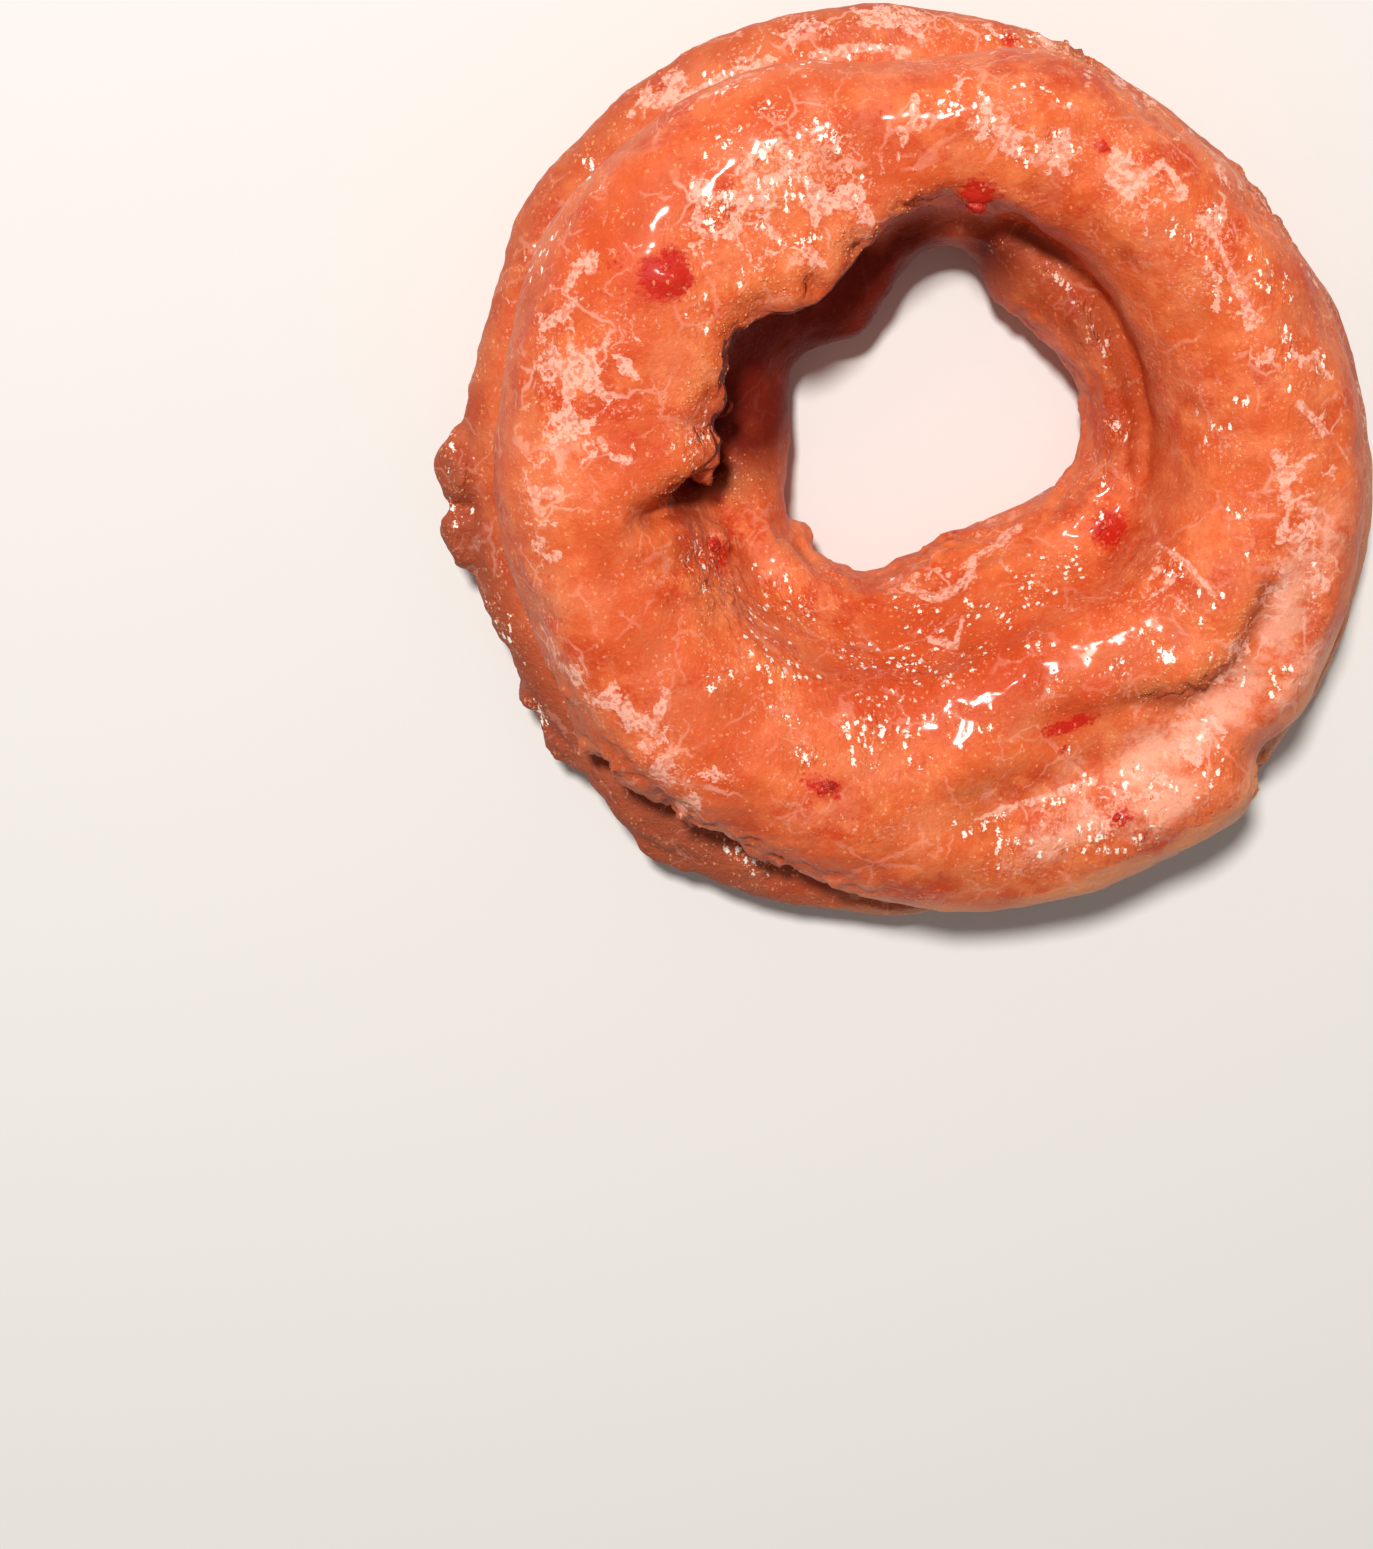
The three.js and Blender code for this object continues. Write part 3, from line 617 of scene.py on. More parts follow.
@dataclass(frozen=True)
class CrustFinish:
    """Fried orange crust under a thin clear glaze, with dried sugar, cherry stains, painted shade, painted
    light and painted glints.
    """

    orange: Colour = colour("dc6232")
    deep: Colour = colour("cc461d")
    light: Colour = colour("ec804b")
    milky: Colour = colour("f0a078")
    # the lower crust's brown, also used as painted shade on the left flank
    brown_and_shade: Colour = colour("924630")
    # the rim's orange, made lighter as painted light for the side that faces away from the key light
    rim_and_painted_light: Colour = colour("f0925c")
    # painted shade: the dark red-brown of the hole's wall in the key light's shadow
    wall_shade: Colour = colour("6c190a")
    # painted shade in hollows, cracks and folds
    hollow_shade: Colour = colour("b04a22")
    crumb: Colour = colour("d57a46")
    # pale pink glaze, its paleness partly painted light on the petal and right edge
    pink_and_painted_light: Colour = colour("f8b094")
    sugar: Colour = colour("f9bda8")
    # painted highlight: near-white flecks for the glaze's glints
    painted_glint: Colour = colour("fff4e6")
    # painted highlight: golden specks for glints on the grain
    golden_glint: Colour = colour("ffb97f")
    stain: Colour = colour("c01a0d")

    def material(self) -> bpy.types.Material:
        """Makes the crust's material.

        Returns:
            The material.
        """
        shading = Shading("glazed_crust")
        blotch = shading.noise(3.0, 2, 4.0, 0.62)
        grain = shading.noise(0.5, 3, 2.0, 0.65)
        glint = shading.painted(Field.GLINT)
        wet = (0.1 + shading.painted(Field.WET) * 0.6 + glint * 0.45).clamped()
        sugar = self.sugar_share(shading)
        painted_glint = self.painted_glint_share(shading)
        torn = (shading.painted(Field.TORN) * (0.5 + shading.noise(1.3, 6, 3.0, 0.6))).step(0.35, 0.85)
        jags = shading.noise(1.2, 23, 3.0, 0.6)
        # painted shade on the hole's wall, with a ragged edge below the lip
        wall_shade = (shading.painted(Field.WALL) + (jags - 0.5) * 0.8).step(0.36, 0.52)
        wall_shade = wall_shade * shading.painted(Field.SHADE)
        stain = shading.painted(Field.STAIN) + (grain - 0.5) * 1.2 + (blotch - 0.5) * 1.3
        stain = stain.step(0.36, 0.86)
        # less sugar and fewer painted glints show where the wall has painted shade
        bare = 1.0 - wall_shade * 0.9
        # painted golden glints on the grain and torn crumb
        golden_glint = shading.drops(0.5, 26, 1.3, 0.26 + (glint + torn) * 0.22)
        tint = shading.layered(
            self.crust_tint(shading, blotch, grain, torn),
            # painted shade on the hole's wall
            (wall_shade * (0.8 + blotch * 0.4), self.wall_shade),
            (stain * (1.0 - wall_shade) * 0.95, self.stain),
            (sugar * bare * (1.0 - stain * 0.9) * 0.8, self.sugar),
            # painted golden glints, then painted pale glints
            (golden_glint * bare * 0.4, self.golden_glint),
            (painted_glint * bare, self.painted_glint),
        )
        # less gloss on the flank and where the wall has painted shade
        dull = shading.painted(Field.FLANK_AND_SHADE).most(wall_shade)
        return shading.surface(
            Base_Color=tint,
            Roughness=(0.44 + blotch * 0.14 + dull * 0.1).clamped(),
            Normal=shading.bump(self.relief(shading, grain, torn, wet), 0.9),
            Coat_Weight=((1.0 - dull * 0.8) * (1.0 - sugar * 0.6) * (0.04 + wet * 0.34)).clamped(),
            Coat_Roughness=0.12,
            Specular_IOR_Level=0.16,
            Subsurface_Weight=0.15,
            Subsurface_Radius=(1.0, 0.35, 0.15),
            Subsurface_Scale=0.0018,
        )

    def crust_tint(self, shading: Shading, blotch: Value, grain: Value, torn: Value) -> Socket:
        """Works out the crust's colour before stains and sugar: its own tones, painted shade in hollows, on
        the flank and in deep patches, and painted light on the pink glaze and the rim.

        Args:
            shading: The crust's node tree.
            blotch: Noise of the blotches' size.
            grain: Fine noise.
            torn: How torn the crust is.

        Returns:
            The colour.
        """
        swell = shading.noise(9.0, 1, 2.0)
        milk = (shading.noise(6.5, 16, 3.0, 0.55) * 0.7 + grain * 0.3).step(0.46, 0.6)
        # pale pink glaze, partly painted light on the petal and right edge
        pink_and_painted_light = (shading.painted(Field.PINK_AND_PAINTED_LIGHT) * (shading.noise(3.0, 7, 4.0, 0.7) * 2.4 - 0.4)).step(0.25, 0.95)
        # deeper orange in its patches, partly painted shade
        deep = (shading.painted(Field.DEEP_AND_SHADE) * (0.4 + blotch * 1.2)).clamped()
        return shading.layered(
            self.deep,
            (swell.step(0.34, 0.56), self.orange),
            (blotch.step(0.42, 0.68) * 0.7, self.light),
            (milk * 0.2, self.milky),
            (grain.step(0.5, 0.75) * 0.3, self.light),
            (deep * 0.85, self.deep),
            (torn * 0.6, self.crumb),
            (pink_and_painted_light * 0.8, self.pink_and_painted_light),
            # the rim's orange, with painted light
            (shading.painted(Field.RIM_AND_PAINTED_LIGHT).step(0.25, 0.6) * 0.9, self.rim_and_painted_light),
            # the lower crust's brown and painted shade on the left flank
            (shading.painted(Field.FLANK_AND_SHADE) * 0.85, self.brown_and_shade),
            # painted shade in hollows, cracks and folds
            (shading.painted(Field.HOLLOW_SHADE) * 0.6, self.hollow_shade),
        )

    @staticmethod
    def relief(shading: Shading, grain: Value, torn: Value, wet: Value) -> Value:
        """Works out the glaze's fine ridges, drips and grain, which give it its many small glints.

        Args:
            shading: The crust's node tree.
            grain: Fine noise.
            torn: How torn the crust is.
            wet: How thick the glaze is.

        Returns:
            A height from about 0 to 1.
        """
        drips = shading.noise(1.3, 10, 2.0, 0.6, 0.4, stretch=1.8)
        lumps = shading.noise(2.6, 12, 1.0, 0.5)
        return (
            drips.step(0.48, 0.8) * (0.3 * wet)
            + lumps * 0.13
            + grain * (0.14 + torn * 0.12 + shading.painted(Field.FLANK_AND_SHADE) * 0.14)
        )

    @staticmethod
    def painted_glint_share(shading: Shading) -> Value:
        """Works out the painted highlights: small pale flecks, mostly in clusters, that stand in for the
        glaze's glints.

        Args:
            shading: The crust's node tree.

        Returns:
            1 on a fleck and 0 off it.
        """
        glint = shading.painted(Field.GLINT)
        torn = shading.painted(Field.TORN)
        small = shading.drops(0.75, 22, 2.0, glint * 0.62 + torn * 0.06 + 0.06)
        large = shading.drops(1.6, 31, 1.4, glint * 1.0 - 0.6)
        return small.most(large)

    @staticmethod
    def sugar_share(shading: Shading) -> Value:
        """Works out where dried sugar covers the crust: lace in its patches, and thin lines between.

        Args:
            shading: The crust's node tree.

        Returns:
            How much sugar covers each place, from 0 to 1.
        """
        zone = shading.painted(Field.SUGAR)
        broad = shading.noise(5.0, 4, 2.0, 0.5)
        ragged = shading.noise(1.1, 15, 5.0, 0.7)
        thick = zone * 0.36 + broad * 0.7 + ragged * 0.55 - 0.79
        lace = (thick - shading.cracks(4.2, 14, 2.6)).step(-0.01, 0.03)
        grains = shading.noise(0.6, 13, 2.0, 0.6).step(0.57, 0.47)
        wander = (shading.noise(2.2, 29, 2.0, 0.6) - 0.5) * 1.6 + (ragged - 0.5) * 1.3
        streak = (shading.painted(Field.STREAK) + wander).step(0.42, 0.72)
        near = (zone + shading.painted(Field.PINK_AND_PAINTED_LIGHT) * 0.4 + 0.4).clamped()
        line = shading.cracks(8.5, 5, 2.6).step(0.03, 0.008) * shading.noise(6.0, 9, 2.0).step(0.5, 0.6)
        thin = shading.cracks(4.6, 17, 1.8).step(0.045, 0.012) * shading.noise(5.0, 18, 2.0).step(0.54, 0.62)
        cloud = shading.noise(6.0, 25, 2.0) * 0.5 + zone * 0.1
        dust = (shading.noise(0.42, 24, 2.0, 0.6) + cloud).step(0.91, 0.99)
        lace = lace.most(streak) * (0.35 + grains * 0.65)
        return lace.most(line.most(thin) * near * 0.6).most(dust * 0.5)


@dataclass(frozen=True)
class CherryFinish:
    """Wet red cherry flesh."""

    red: Colour = colour("cc3422")
    dark: Colour = colour("a82014")
    # painted glints: golden specks on the cherry
    painted_glint: Colour = colour("f08a60")

    def material(self) -> bpy.types.Material:
        """Makes the cherry's material.

        Returns:
            The material.
        """
        shading = Shading("wet_cherry")
        blotch = shading.noise(1.4, 31, 3.0)
        # painted glints: golden specks on the cherry
        glint_specks = shading.noise(0.5, 33, 2.0).step(0.6, 0.68)
        tint = shading.mix(blotch.step(0.4, 0.65), self.dark, self.red)
        return shading.surface(
            Base_Color=shading.mix(glint_specks * 0.6, tint, self.painted_glint),
            Roughness=0.34,
            Specular_IOR_Level=0.3,
            Normal=shading.bump(shading.noise(0.7, 32, 3.0), 0.5),
            Subsurface_Weight=0.2,
            Subsurface_Radius=(1.0, 0.15, 0.1),
            Subsurface_Scale=0.0015,
        )


@dataclass(frozen=True)
class CrumbFinish:
    """Torn crumb, a little lighter than the crust and damp with glaze."""

    light: Colour = colour("e99764")
    dark: Colour = colour("dc7a48")

    def material(self) -> bpy.types.Material:
        """Makes the crumb's material.

        Returns:
            The material.
        """
        shading = Shading("damp_crumb")
        blotch = shading.noise(1.2, 41, 3.0)
        return shading.surface(
            Base_Color=shading.mix(blotch.step(0.4, 0.62), self.dark, self.light),
            Roughness=0.3,
            Normal=shading.bump(shading.noise(0.5, 42, 2.0), 0.2),
        )


@dataclass(frozen=True)
class BeadFinish:
    """Small beads of glaze, glossy and as orange as what they lie on."""

    tint: Colour = colour("e88459")

    def material(self) -> bpy.types.Material:
        """Makes the beads' material."""
        return Shading("glaze_bead").surface(
            Base_Color=self.tint,
            Roughness=0.2,
            Subsurface_Weight=0.2,
            Subsurface_Radius=(1.0, 0.5, 0.35),
            Subsurface_Scale=0.001,
        )


@dataclass(frozen=True)
class FloorFinish:
    """A plain pale floor."""

    tint: Colour = (0.76, 0.75, 0.735, 1.0)

    def material(self) -> bpy.types.Material:
        """Makes the floor's material."""
        return Shading("pale_floor").surface(Base_Color=self.tint, Roughness=0.8)


# Modelling helpers


def deselect_all() -> None:
    """Leaves object mode with nothing selected."""
    if bpy.context.object and bpy.context.object.mode != "OBJECT":
        bpy.ops.object.mode_set(mode="OBJECT")
    bpy.ops.object.select_all(action="DESELECT")


def activate(piece: bpy.types.Object) -> bpy.types.Object:
    """Selects one object alone and makes it the active one.

    Args:
        piece: The object.

    Returns:
        The same object.
    """
    deselect_all()
    piece.select_set(True)
    bpy.context.view_layer.objects.active = piece
    return piece


def apply_modifier(piece: bpy.types.Object, kind: str, **settings: object) -> None:
    """Adds a modifier to a piece and applies it.

    Args:
        piece: The piece.
        kind: The modifier's type.
        settings: The modifier's properties.
    """
    activate(piece)
    modifier = piece.modifiers.new(kind.lower(), kind)
    for name, value in settings.items():
        setattr(modifier, name, value)
    bpy.ops.object.modifier_apply(modifier=modifier.name)


def points_of(piece: bpy.types.Object) -> np.ndarray:
    """Reads a mesh's points.

    Args:
        piece: The piece.

    Returns:
        Each point's place, a row each.
    """
    points = np.empty(len(piece.data.vertices) * 3, np.float32)
    piece.data.vertices.foreach_get("co", points)
    return points.reshape(-1, 3)


def normals_of(piece: bpy.types.Object) -> np.ndarray:
    """Reads the normals at a mesh's points.

    Args:
        piece: The piece.

    Returns:
        The normal at each point, a row each.
    """
    normals = np.empty(len(piece.data.vertices) * 3, np.float32)
    piece.data.vertices.foreach_get("normal", normals)
    return normals.reshape(-1, 3)


def weigh(piece: bpy.types.Object, name: str, weights: np.ndarray, levels: int = 24) -> str:
    """Makes a vertex group, with its weights rounded to a few levels.

    Args:
        piece: The piece.
        name: The group's name.
        weights: A weight for each point, from 0 to 1.
        levels: How many different weights there are.

    Returns:
        The group's name.
    """
    group = piece.vertex_groups.new(name=name)
    rounded = np.rint(np.clip(weights, 0, 1) * levels).astype(int)
    for level in range(1, levels + 1):
        members = np.flatnonzero(rounded == level)
        if len(members):
            group.add(members.tolist(), level / levels, "REPLACE")
    return group.name


@dataclass(frozen=True)
class Relief:
    """One layer of lumps on a surface."""

    name: str
    size: float  # of the lumps, in millimetres
    height: float  # from the lowest to the highest, in millimetres
    depth: int = 2  # how many times finer lumps are added
    direction: str = "NORMAL"  # that it moves the surface in

    def texture(self) -> bpy.types.Texture:
        """Makes the procedural texture of the lumps.

        Returns:
            The texture.
        """
        made = bpy.data.textures.new(self.name, "CLOUDS")
        made.noise_scale = self.size * MM
        made.noise_depth = self.depth
        return made

    def apply(self, piece: bpy.types.Object, group: str = "") -> None:
        """Raises a piece's surface by the lumps.

        Args:
            piece: The piece.
            group: The vertex group that says where, or an empty name for everywhere.
        """
        apply_modifier(
            piece,
            "DISPLACE",
            texture=self.texture(),
            texture_coords="LOCAL",
            strength=self.height * MM,
            mid_level=0.5,
            direction=self.direction,
            vertex_group=group,
        )


# The crust


@dataclass
class Crust:
    """The whole ring: upper crust, split, lower crust and hole, as one closed surface."""

    name: str = "glazed_crust_ring"
    merging: float = 0.002  # how near points are to be merged, in millimetres
    voxel: float = 0.48  # the surface's grid, in millimetres
    smoothing: int = 2
    melting: int = 110  # how many times the melted steps are smoothed
    underside: float = -0.1  # a normal's height under which the surface counts as the underside
    kept_share: float = 0.62  # of the faces, with nearly all that go taken from the underside
    finish: CrustFinish = field(default_factory=CrustFinish)

    def build(self) -> bpy.types.Object:
        """Makes the crust from a copy of the solid.

        Returns:
            The crust, finished and dressed.
        """
        piece = self.copy_node()
        apply_modifier(piece, "SUBSURF", levels=2, render_levels=2)
        self.shape(piece)
        apply_modifier(piece, "REMESH", mode="VOXEL", voxel_size=self.voxel * MM)
        apply_modifier(piece, "SMOOTH", factor=0.5, iterations=self.smoothing)
        self.melt(piece)
        self.thin_underside(piece)
        base = points_of(piece).copy()
        self.roughen(piece)
        self.paint_fields(piece, base)
        piece.data.materials.clear()
        piece.data.materials.append(self.finish.material())
        activate(piece)
        bpy.ops.object.shade_smooth()
        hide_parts(NODE)
        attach(piece, BODY)
        return piece

    def copy_node(self) -> bpy.types.Object:
        """Copies the solid's mesh to a new piece and merges its loose triangles.

        Returns:
            The new piece.
        """
        piece = bpy.data.objects.new(self.name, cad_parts[NODE].data.copy())
        bpy.context.scene.collection.objects.link(piece)
        activate(piece)
        bpy.ops.object.mode_set(mode="EDIT")
        bpy.ops.mesh.select_all(action="SELECT")
        bpy.ops.mesh.remove_doubles(threshold=self.merging * MM)
        bpy.ops.object.mode_set(mode="OBJECT")
        return piece

    def shape(self, piece: bpy.types.Object) -> None:
        """Cuts the nicks, folds and cracks that are finer than the solid's own form.

        Args:
            piece: The crust.
        """
        for change in SHAPING:
            group = weigh(piece, change.name, change.weights(points_of(piece)))
            apply_modifier(
                piece,
                "DISPLACE",
                strength=change.push * MM,
                mid_level=0,
                direction=change.direction,
                vertex_group=group,
            )

    def melt(self, piece: bpy.types.Object) -> None:
        """Smooths the steps that the glaze has run over.

        Args:
            piece: The crust.
        """
        points = points_of(piece)
        melted = strongest(MELTED, points) * ramp(points[:, 2] / MM, 20, 21)
        group = weigh(piece, "melted", melted * 1.5)
        apply_modifier(piece, "SMOOTH", factor=0.5, iterations=self.melting, vertex_group=group)

    def thin_underside(self, piece: bpy.types.Object) -> None:
        """Takes faces from the underside, where the foot is smooth, and keeps the rest.

        Args:
            piece: The crust.
        """
        under = normals_of(piece)[:, 2] < self.underside
        group = weigh(piece, "underside", under.astype(float))
        apply_modifier(piece, "DECIMATE", ratio=self.kept_share, vertex_group=group)

    def roughen(self, piece: bpy.types.Object) -> None:
        """Gives the crust its lumps, crumbs, jags and flakes, each where the real one has them.

        Args:
            piece: The crust.
        """
        points = points_of(piece)
        height = points[:, 2] / MM
        off_the_foot = ramp(height, 0.4, 3.4)
        torn = np.clip(strongest(TORN_PATCHES, points), 0, 1) * off_the_foot
        rough = np.clip(strongest(ROUGH_PATCHES, points), 0, 1) * ramp(height, 22, 19)
        brow = np.clip(strongest(BROW_PATCHES, points), 0, 1) * ramp(height, 16, 18)
        sound = weigh(piece, "sound", off_the_foot * (1 - 0.5 * torn))
        crumbly = weigh(piece, "crumbly", np.maximum(torn * 0.3, rough * off_the_foot))
        edges = ramp(normals_of(piece)[:, 2], 0.92, 0.67)
        ragged = weigh(piece, "ragged", torn * edges)
        flaky = weigh(piece, "flaky", brow * edges)
        Relief("swells", 6.5, 0.7, depth=1).apply(piece, sound)
        Relief("dents", 2.6, 0.34, depth=2).apply(piece, sound)
        Relief("tears", 3.2, 1.5, depth=1).apply(piece, crumbly)
        Relief("crumbs", 1.5, 1.1, depth=3).apply(piece, crumbly)
        Relief("jags_across", 1.6, 3.0, depth=2, direction="X").apply(piece, ragged)
        Relief("jags_along", 1.4, 3.0, depth=2, direction="Y").apply(piece, ragged)
        Relief("flakes_across", 3.4, 4.4, depth=3, direction="X").apply(piece, flaky)
        Relief("flakes_along", 3.0, 4.4, depth=3, direction="Y").apply(piece, flaky)

    def paint_fields(self, piece: bpy.types.Object, base: np.ndarray) -> None:
        """Stores what the material reads: sugar, stains, torn crumb, painted glints, painted shade and
        painted light, and how deep each point lies, for painted shade in hollows.

        Args:
            piece: The crust.
            base: Its points before it was roughened.
        """
        points = points_of(piece)
        normals = normals_of(piece)
        off = points - np.array(RING_MIDDLE)
        radius = np.hypot(off[:, 0], off[:, 1]) / MM
        height = points[:, 2] / MM
        sunk = np.einsum("ij,ij->i", base - points, normals) / MM
        upward = np.clip(normals[:, 2], 0, 1)
        facing_up = np.clip(0.2 + upward * 1.6, 0, 1)
        # brown lower crust and painted shade on the flank
        outer = ramp(radius, 44, 49) * ramp(height, 24, 18)
        browned_and_shaded = outer * np.clip(FLANK_PATCH.weights(points) + 0.4, 0, 1)
        # the cracks and folds, and points that the roughening sank, get painted shade
        cracks = [press for press in SHAPING if isinstance(press.place, Streak) and press.push < 0]
        folds = strongest(cracks, points)
        # painted shade under the hole's lip: low on the wall, or where its edge curls over
        curled = ramp(normals[:, 2], 0.6, 0.3) * ramp(height, LIP_TOP, LIP_TOP - 1)
        under_lip = np.maximum(ramp(height, LIP_HEIGHT, LIP_HEIGHT - 3), curled) * ramp(radius, 30, 27)
        painted = {
            Field.SUGAR: strongest(SUGAR_PATCHES, points) * np.clip(0.3 + upward, 0, 1),
            Field.STREAK: strongest(SUGAR_STREAKS, points) * facing_up,
            Field.STAIN: strongest(STAIN_PATCHES, points) * facing_up,
            Field.TORN: strongest(TORN_PATCHES, points),
            Field.GLINT: strongest(GLINT_PATCHES, points) * facing_up,
            Field.RIM_AND_PAINTED_LIGHT: strongest(RIM_AND_PAINTED_LIGHT_PATCHES, points) * ramp(normals[:, 2], 0.93, 0.73),
            Field.PINK_AND_PAINTED_LIGHT: strongest(PINK_AND_PAINTED_LIGHT_PATCHES, points) * ramp(height, 19, 22),
            Field.FLANK_AND_SHADE: np.maximum(browned_and_shaded, strongest(BROWN_AND_SHADE_PATCHES, points) * 0.7),
            Field.WALL: under_lip,
            Field.SHADE: np.clip(strongest(SHADED_WALL, points), 0, 1),
            Field.DEEP_AND_SHADE: strongest(DEEP_AND_SHADE_PATCHES, points),
            Field.HOLLOW_SHADE: np.maximum(ramp(sunk, 0, 0.7), folds),
            Field.WET: strongest(WET_PATCHES, points) * np.clip(0.2 + upward, 0, 1),
        }
        for painted_field, values in painted.items():
            attribute = piece.data.attributes.new(painted_field.value, "FLOAT", "POINT")
            attribute.data.foreach_set("value", values.astype(np.float32))


# Small things on the crust


@dataclass
class Scatter:
    """Small things of one kind, strewn over the crust by a seeded draw."""

    name: str
    patches: tuple[Patch, ...]  # where they lie
    material: bpy.types.Material
    count: int
    shortest: float  # in millimetres
    longest: float
    breadth: float  # as a share of the length
    thickness: float  # as a share of the length
    sunk: float  # the share of the thickness that is in the crust
    uneven: float  # how much the surface differs from a ball's, as a share of its radius
    seed: int
    heading: float = 90.0  # degrees from +X that they lie along
    spread: float = 180.0  # degrees by which that differs
    subdivisions: int = 2  # of the ball that each one starts as
    steepest: float = 0.0  # the least height of a normal that they lie on
    bare: float = 0.15  # a patch's value at which the last of them lies
    crowding: float = 1.5  # how much they gather where a patch is strongest
    smallness: float = 2.2  # how much the short ones outnumber the long ones

    def build(self, crust: bpy.types.Object) -> bpy.types.Object:
        """Strews them over the crust.

        Args:
            crust: The crust that they lie on.

        Returns:
            All of them, as one piece.
        """
        draw = np.random.default_rng(self.seed)
        points, normals = points_of(crust), normals_of(crust)
        chance = np.clip(strongest(self.patches, points) - self.bare, 0, 1) ** self.crowding
        chance *= normals[:, 2] > self.steepest
        chosen = draw.choice(len(points), self.count, replace=False, p=chance / chance.sum())
        ball, sides = self.ball()
        corners = self.placed(draw, ball, points[chosen], normals[chosen])
        faces = (np.arange(self.count)[:, None, None] * len(ball) + sides).reshape(-1, 3)
        mesh = bpy.data.meshes.new(self.name)
        mesh.from_pydata(corners.reshape(-1, 3).tolist(), [], faces.tolist())
        mesh.materials.append(self.material)
        piece = bpy.data.objects.new(self.name, mesh)
        bpy.context.scene.collection.objects.link(piece)
        activate(piece)
        bpy.ops.object.shade_smooth()
        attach(piece, BODY)
        return piece

    def ball(self) -> tuple[np.ndarray, np.ndarray]:
        """Makes the ball that each one starts as.

        Returns:
            Its points, with a radius of 1, and its triangles.
        """
        deselect_all()
        bpy.ops.mesh.primitive_ico_sphere_add(subdivisions=self.subdivisions, radius=1)
        shape = bpy.context.object
        points = points_of(shape).astype(float)
        sides = np.array([face.vertices[:] for face in shape.data.polygons])
        bpy.ops.object.delete()
        return points, sides

    def placed(
        self, draw: np.random.Generator, ball: np.ndarray, places: np.ndarray, normals: np.ndarray
    ) -> np.ndarray:
        """Shapes each one from the ball and lays it on the crust.

        Args:
            draw: The seeded draw.
            ball: The ball's points.
            places: Where each one lies.
            normals: The crust's normals there.

        Returns:
            The points of each one.
        """
        count = len(places)
        angle = np.radians(self.heading + draw.uniform(-self.spread, self.spread, count))
        heading = np.stack([np.cos(angle), np.sin(angle), np.zeros(count)], axis=1)
        along = heading - normals * np.einsum("ij,ij->i", heading, normals)[:, None]
        along /= np.linalg.norm(along, axis=1, keepdims=True)
        across = np.cross(normals, along)
        share = draw.random(count) ** self.smallness
        half = (self.shortest + (self.longest - self.shortest) * share) * MM / 2
        broad = half * self.breadth * draw.uniform(0.75, 1.3, count)
        thick = half * self.thickness * draw.uniform(0.75, 1.25, count)
        shapes = ball[None] * (1 + self.uneven * draw.normal(size=(count, len(ball), 1)))
        return (
            (places + normals * (thick * (1 - 2 * self.sunk))[:, None])[:, None]
            + shapes[..., 0:1] * (along * half[:, None])[:, None]
            + shapes[..., 1:2] * (across * broad[:, None])[:, None]
            + shapes[..., 2:3] * (normals * thick[:, None])[:, None]
        )


@dataclass(frozen=True)
class Cherry:
    """One bit of cherry that shows in the crust."""

    degrees: float
    radius: float
    length: float  # in millimetres
    breadth: float
    lean: float = 0.0  # degrees from +X that it lies along


@dataclass
class CherryBits:
    """The bits of cherry, each sunk in the crust."""

    name: str = "cherry_bits"
    bits: tuple[Cherry, ...] = (
        Cherry(139.0, 35.9, 1.9, 1.3, 40),
        Cherry(141.8, 34.2, 1.4, 0.9, 10),
        Cherry(78.0, 30.0, 2.6, 2.2, 80),
        Cherry(61.9, 40.0, 1.7, 1.3, 20),
        Cherry(340.6, 24.4, 2.6, 1.8, 60),
        Cherry(298.4, 34.7, 1.8, 1.2, 10),
        Cherry(199.9, 23.8, 2.4, 1.7, 50),
        Cherry(300.5, 45.0, 2.0, 1.5, 30),
        Cherry(252.8, 34.9, 2.8, 1.8, 15),
    )
    thickness: float = 0.7  # as a share of the breadth
    proud: float = -0.02  # the share of the thickness that stands over the crust's own bump there
    ray_height: float = 60.0  # over the crust's top, in millimetres
    finish: CherryFinish = field(default_factory=CherryFinish)

    def build(self, crust: bpy.types.Object) -> bpy.types.Object:
        """Makes all the bits.

        Args:
            crust: The crust that they sit in.

        Returns:
            All of them, as one piece.
        """
        made = [self.bit(crust, cherry) for cherry in self.bits]
        deselect_all()
        for bit in made:
            bit.select_set(True)
        bpy.context.view_layer.objects.active = made[0]
        bpy.ops.object.join()
        piece = bpy.context.object
        piece.name = self.name
        Relief("cherry_lumps", 1.4, 0.9, depth=2).apply(piece)
        activate(piece)
        bpy.ops.object.shade_smooth()
        piece.data.materials.append(self.finish.material())
        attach(piece, BODY)
        return piece

    def bit(self, crust: bpy.types.Object, cherry: Cherry) -> bpy.types.Object:
        """Makes one bit, seated by a ray from above.

        Args:
            crust: The crust that it sits in.
            cherry: Its place and size.

        Returns:
            The bit.
        """
        above = on_table(cherry.degrees, cherry.radius) + Vector((0, 0, self.ray_height * MM))
        _, seat, _, _ = crust.ray_cast(above, Vector((0, 0, -1)))
        half = cherry.breadth * self.thickness / 2 * MM
        deselect_all()
        bpy.ops.mesh.primitive_ico_sphere_add(
            subdivisions=4,
            radius=1,
            location=seat - Vector((0, 0, half * (1 - 2 * self.proud))),
            rotation=(0, 0, math.radians(cherry.lean)),
            scale=(cherry.length / 2 * MM, cherry.breadth / 2 * MM, half),
        )
        bpy.ops.object.transform_apply(location=True, rotation=True, scale=True)
        return bpy.context.object


# The studio


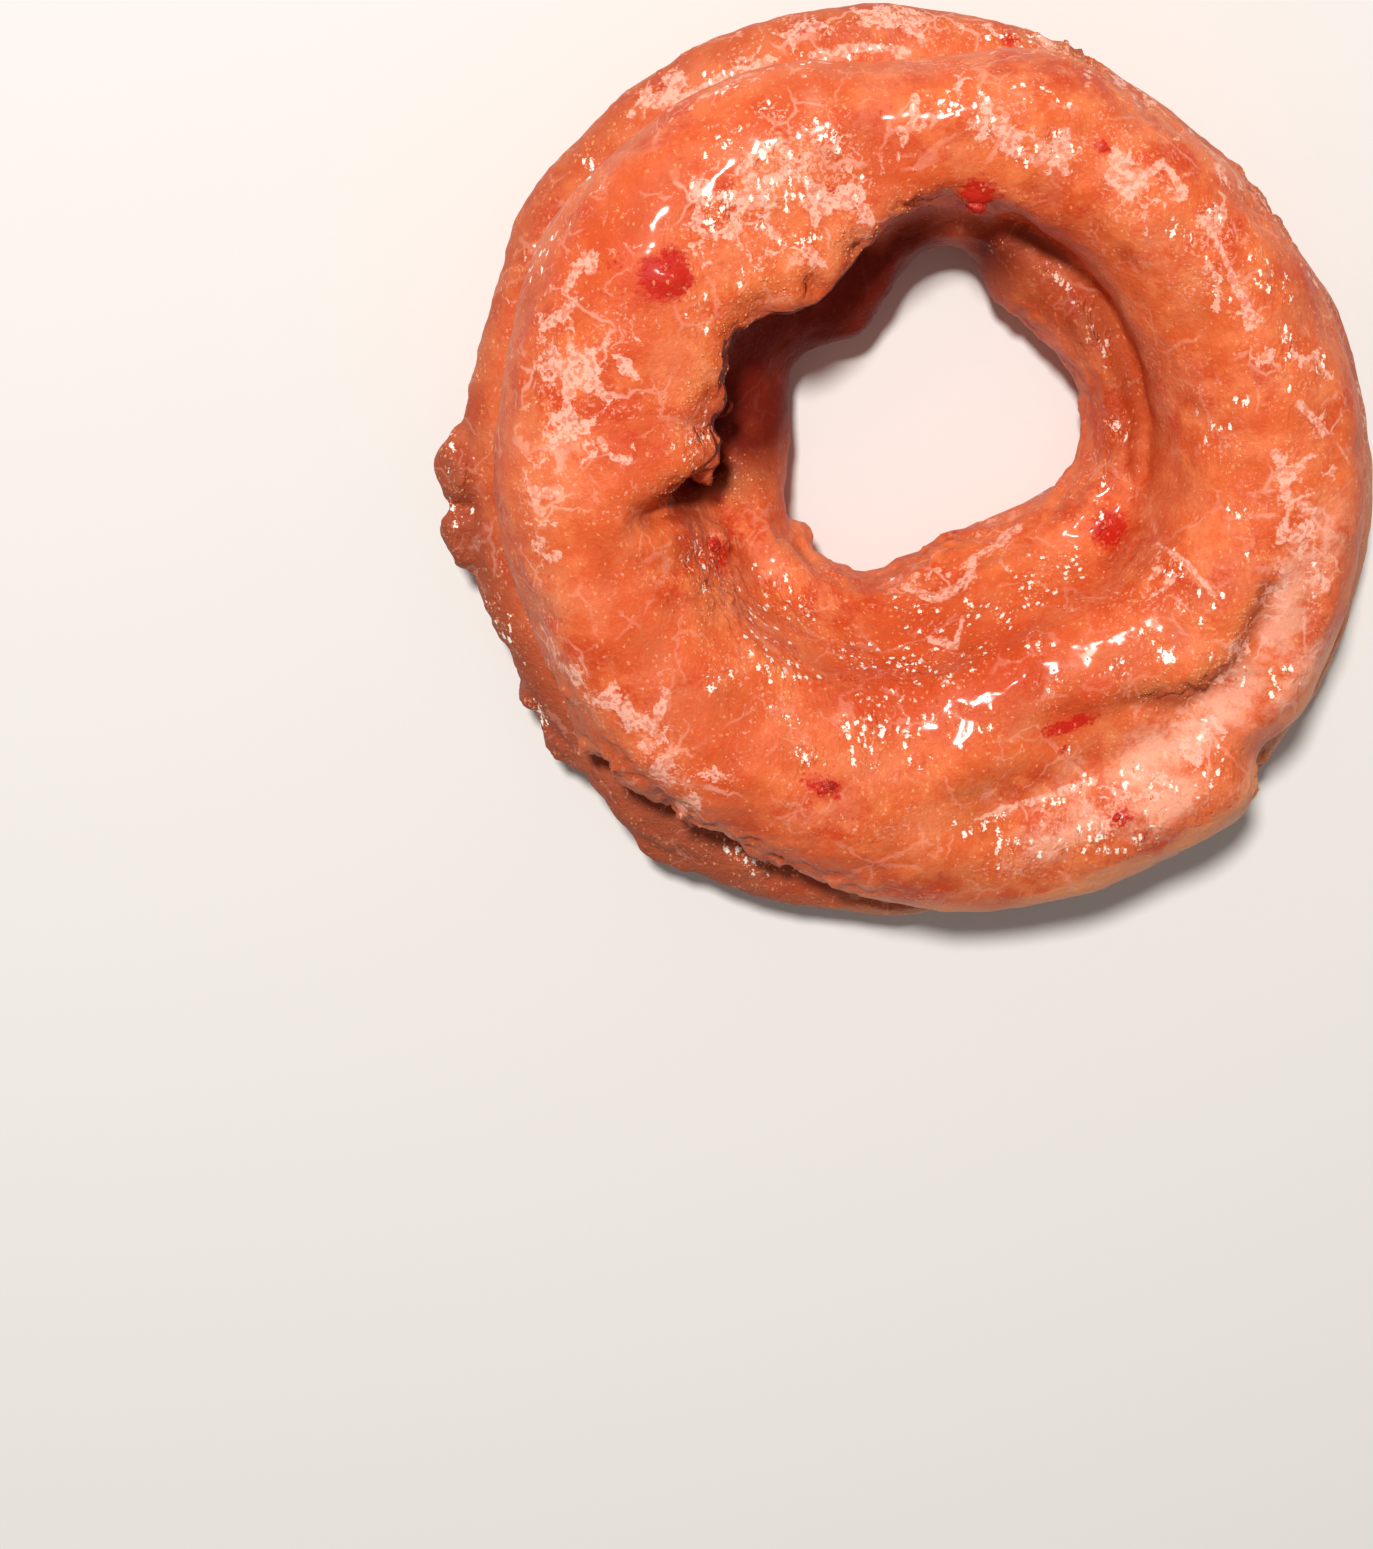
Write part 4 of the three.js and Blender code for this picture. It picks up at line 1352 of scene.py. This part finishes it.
@dataclass
class Studio:
    """The pale floor, the lights and the camera."""

    image: tuple[int, int] = (1373, 1549)  # the picture's width and height, in pixels
    middle_pixel: tuple[float, float] = (905.0, 460.0)  # where the doughnut's middle falls
    pixels_per_mm: float = 8.81  # at the doughnut's middle
    distance: float = 330.0  # from the camera to that middle, in millimetres
    middle_height: float = 16.0
    lean_left: float = 6.0  # degrees that the camera stands off towards -X
    lean_up: float = 10.0  # degrees that it stands off towards +Y
    sensor: float = 36.0
    towards_key: tuple[float, float, float] = (-0.16, 0.4, 0.9)  # from the doughnut's middle
    key_distance: float = 0.9  # in metres
    key_width: float = 0.1  # in metres
    key_energy: float = 9.0  # in watts
    key_tint: tuple[float, float, float] = (1.0, 0.965, 0.92)
    fill_tint: Colour = (1.0, 0.97, 0.93, 1.0)
    fill_strength: float = 0.22
    floor_width: float = 3.0  # in metres

    def build(self) -> None:
        """Makes the floor, the lights and the camera."""
        self.floor()
        self.lights()
        self.camera()

    def floor(self) -> None:
        """Makes the floor, a wide plane."""
        deselect_all()
        bpy.ops.mesh.primitive_plane_add(size=self.floor_width, location=(0, 0, 0))
        floor = bpy.context.object
        floor.name = "floor"
        floor.data.materials.append(FloorFinish().material())

    def lights(self) -> None:
        """Makes a fairly small soft key light, and an even pale fill."""
        middle = Vector((0, 0, self.middle_height * MM))
        towards = Vector(self.towards_key).normalized()
        deselect_all()
        bpy.ops.object.light_add(type="AREA", location=middle + towards * self.key_distance)
        key = bpy.context.object
        key.name = "key"
        key.data.shape = "DISK"
        key.data.size = self.key_width
        key.data.energy = self.key_energy
        key.data.color = self.key_tint
        key.rotation_mode = "QUATERNION"
        key.rotation_quaternion = towards.to_track_quat("Z", "Y")
        world = bpy.data.worlds.new("pale_fill")
        world.use_nodes = True
        background = world.node_tree.nodes["Background"]
        background.inputs["Color"].default_value = self.fill_tint
        background.inputs["Strength"].default_value = self.fill_strength
        bpy.context.scene.world = world
        bpy.context.scene.view_settings.view_transform = "Standard"

    def camera(self) -> None:
        """Makes the camera, which looks past the doughnut so that it falls where the picture has it."""
        focal = self.pixels_per_mm * self.distance
        across = -math.sin(math.radians(self.lean_left))
        along = math.sin(math.radians(self.lean_up))
        back = Vector((across, along, math.sqrt(1 - across**2 - along**2)))
        right = Vector((0, 1, 0)).cross(back).normalized()
        facing = Matrix((right, back.cross(right), back)).transposed()
        off = [(p - size / 2) / focal for p, size in zip(self.middle_pixel, self.image)]
        ray = Vector((off[0], -off[1], -1)).normalized()
        turned = Vector((0, 0, -1)).rotation_difference(ray).to_matrix()
        aim = RING_MIDDLE + Vector((0, 0, self.middle_height * MM))
        deselect_all()
        bpy.ops.object.camera_add(location=aim + back * self.distance * MM)
        camera = bpy.context.object
        camera.name = "camera"
        camera.data.sensor_width = self.sensor
        camera.data.lens = self.sensor * focal / max(self.image)
        camera.rotation_mode = "QUATERNION"
        camera.rotation_quaternion = (facing @ turned.transposed()).to_quaternion()
        bpy.context.scene.camera = camera


def main() -> None:
    """Builds each part of the doughnut and the studio in order, and reports each piece."""
    logging.basicConfig(level=logging.INFO, format="%(name)s: %(message)s")
    crust = Crust().build()
    strewn = (
        Scatter(
            name="torn_crumbs",
            patches=TORN_PATCHES,
            material=CrumbFinish().material(),
            count=1400,
            shortest=0.15,
            longest=0.5,
            breadth=0.8,
            thickness=0.6,
            sunk=0.6,
            uneven=0.22,
            seed=5,
            subdivisions=1,
        ),
        Scatter(
            name="glaze_beads",
            patches=GLINT_PATCHES,
            material=BeadFinish().material(),
            count=900,
            shortest=0.2,
            longest=0.6,
            breadth=0.6,
            thickness=0.4,
            sunk=0.5,
            uneven=0.05,
            seed=6,
            spread=40,
            steepest=0.4,
        ),
    )
    pieces = [crust, CherryBits().build(crust), *(kind.build(crust) for kind in strewn)]
    for piece in pieces:
        log.info("%s: %d faces", piece.name, len(piece.data.polygons))
    Studio().build()


if __name__ == "__main__":
    main()
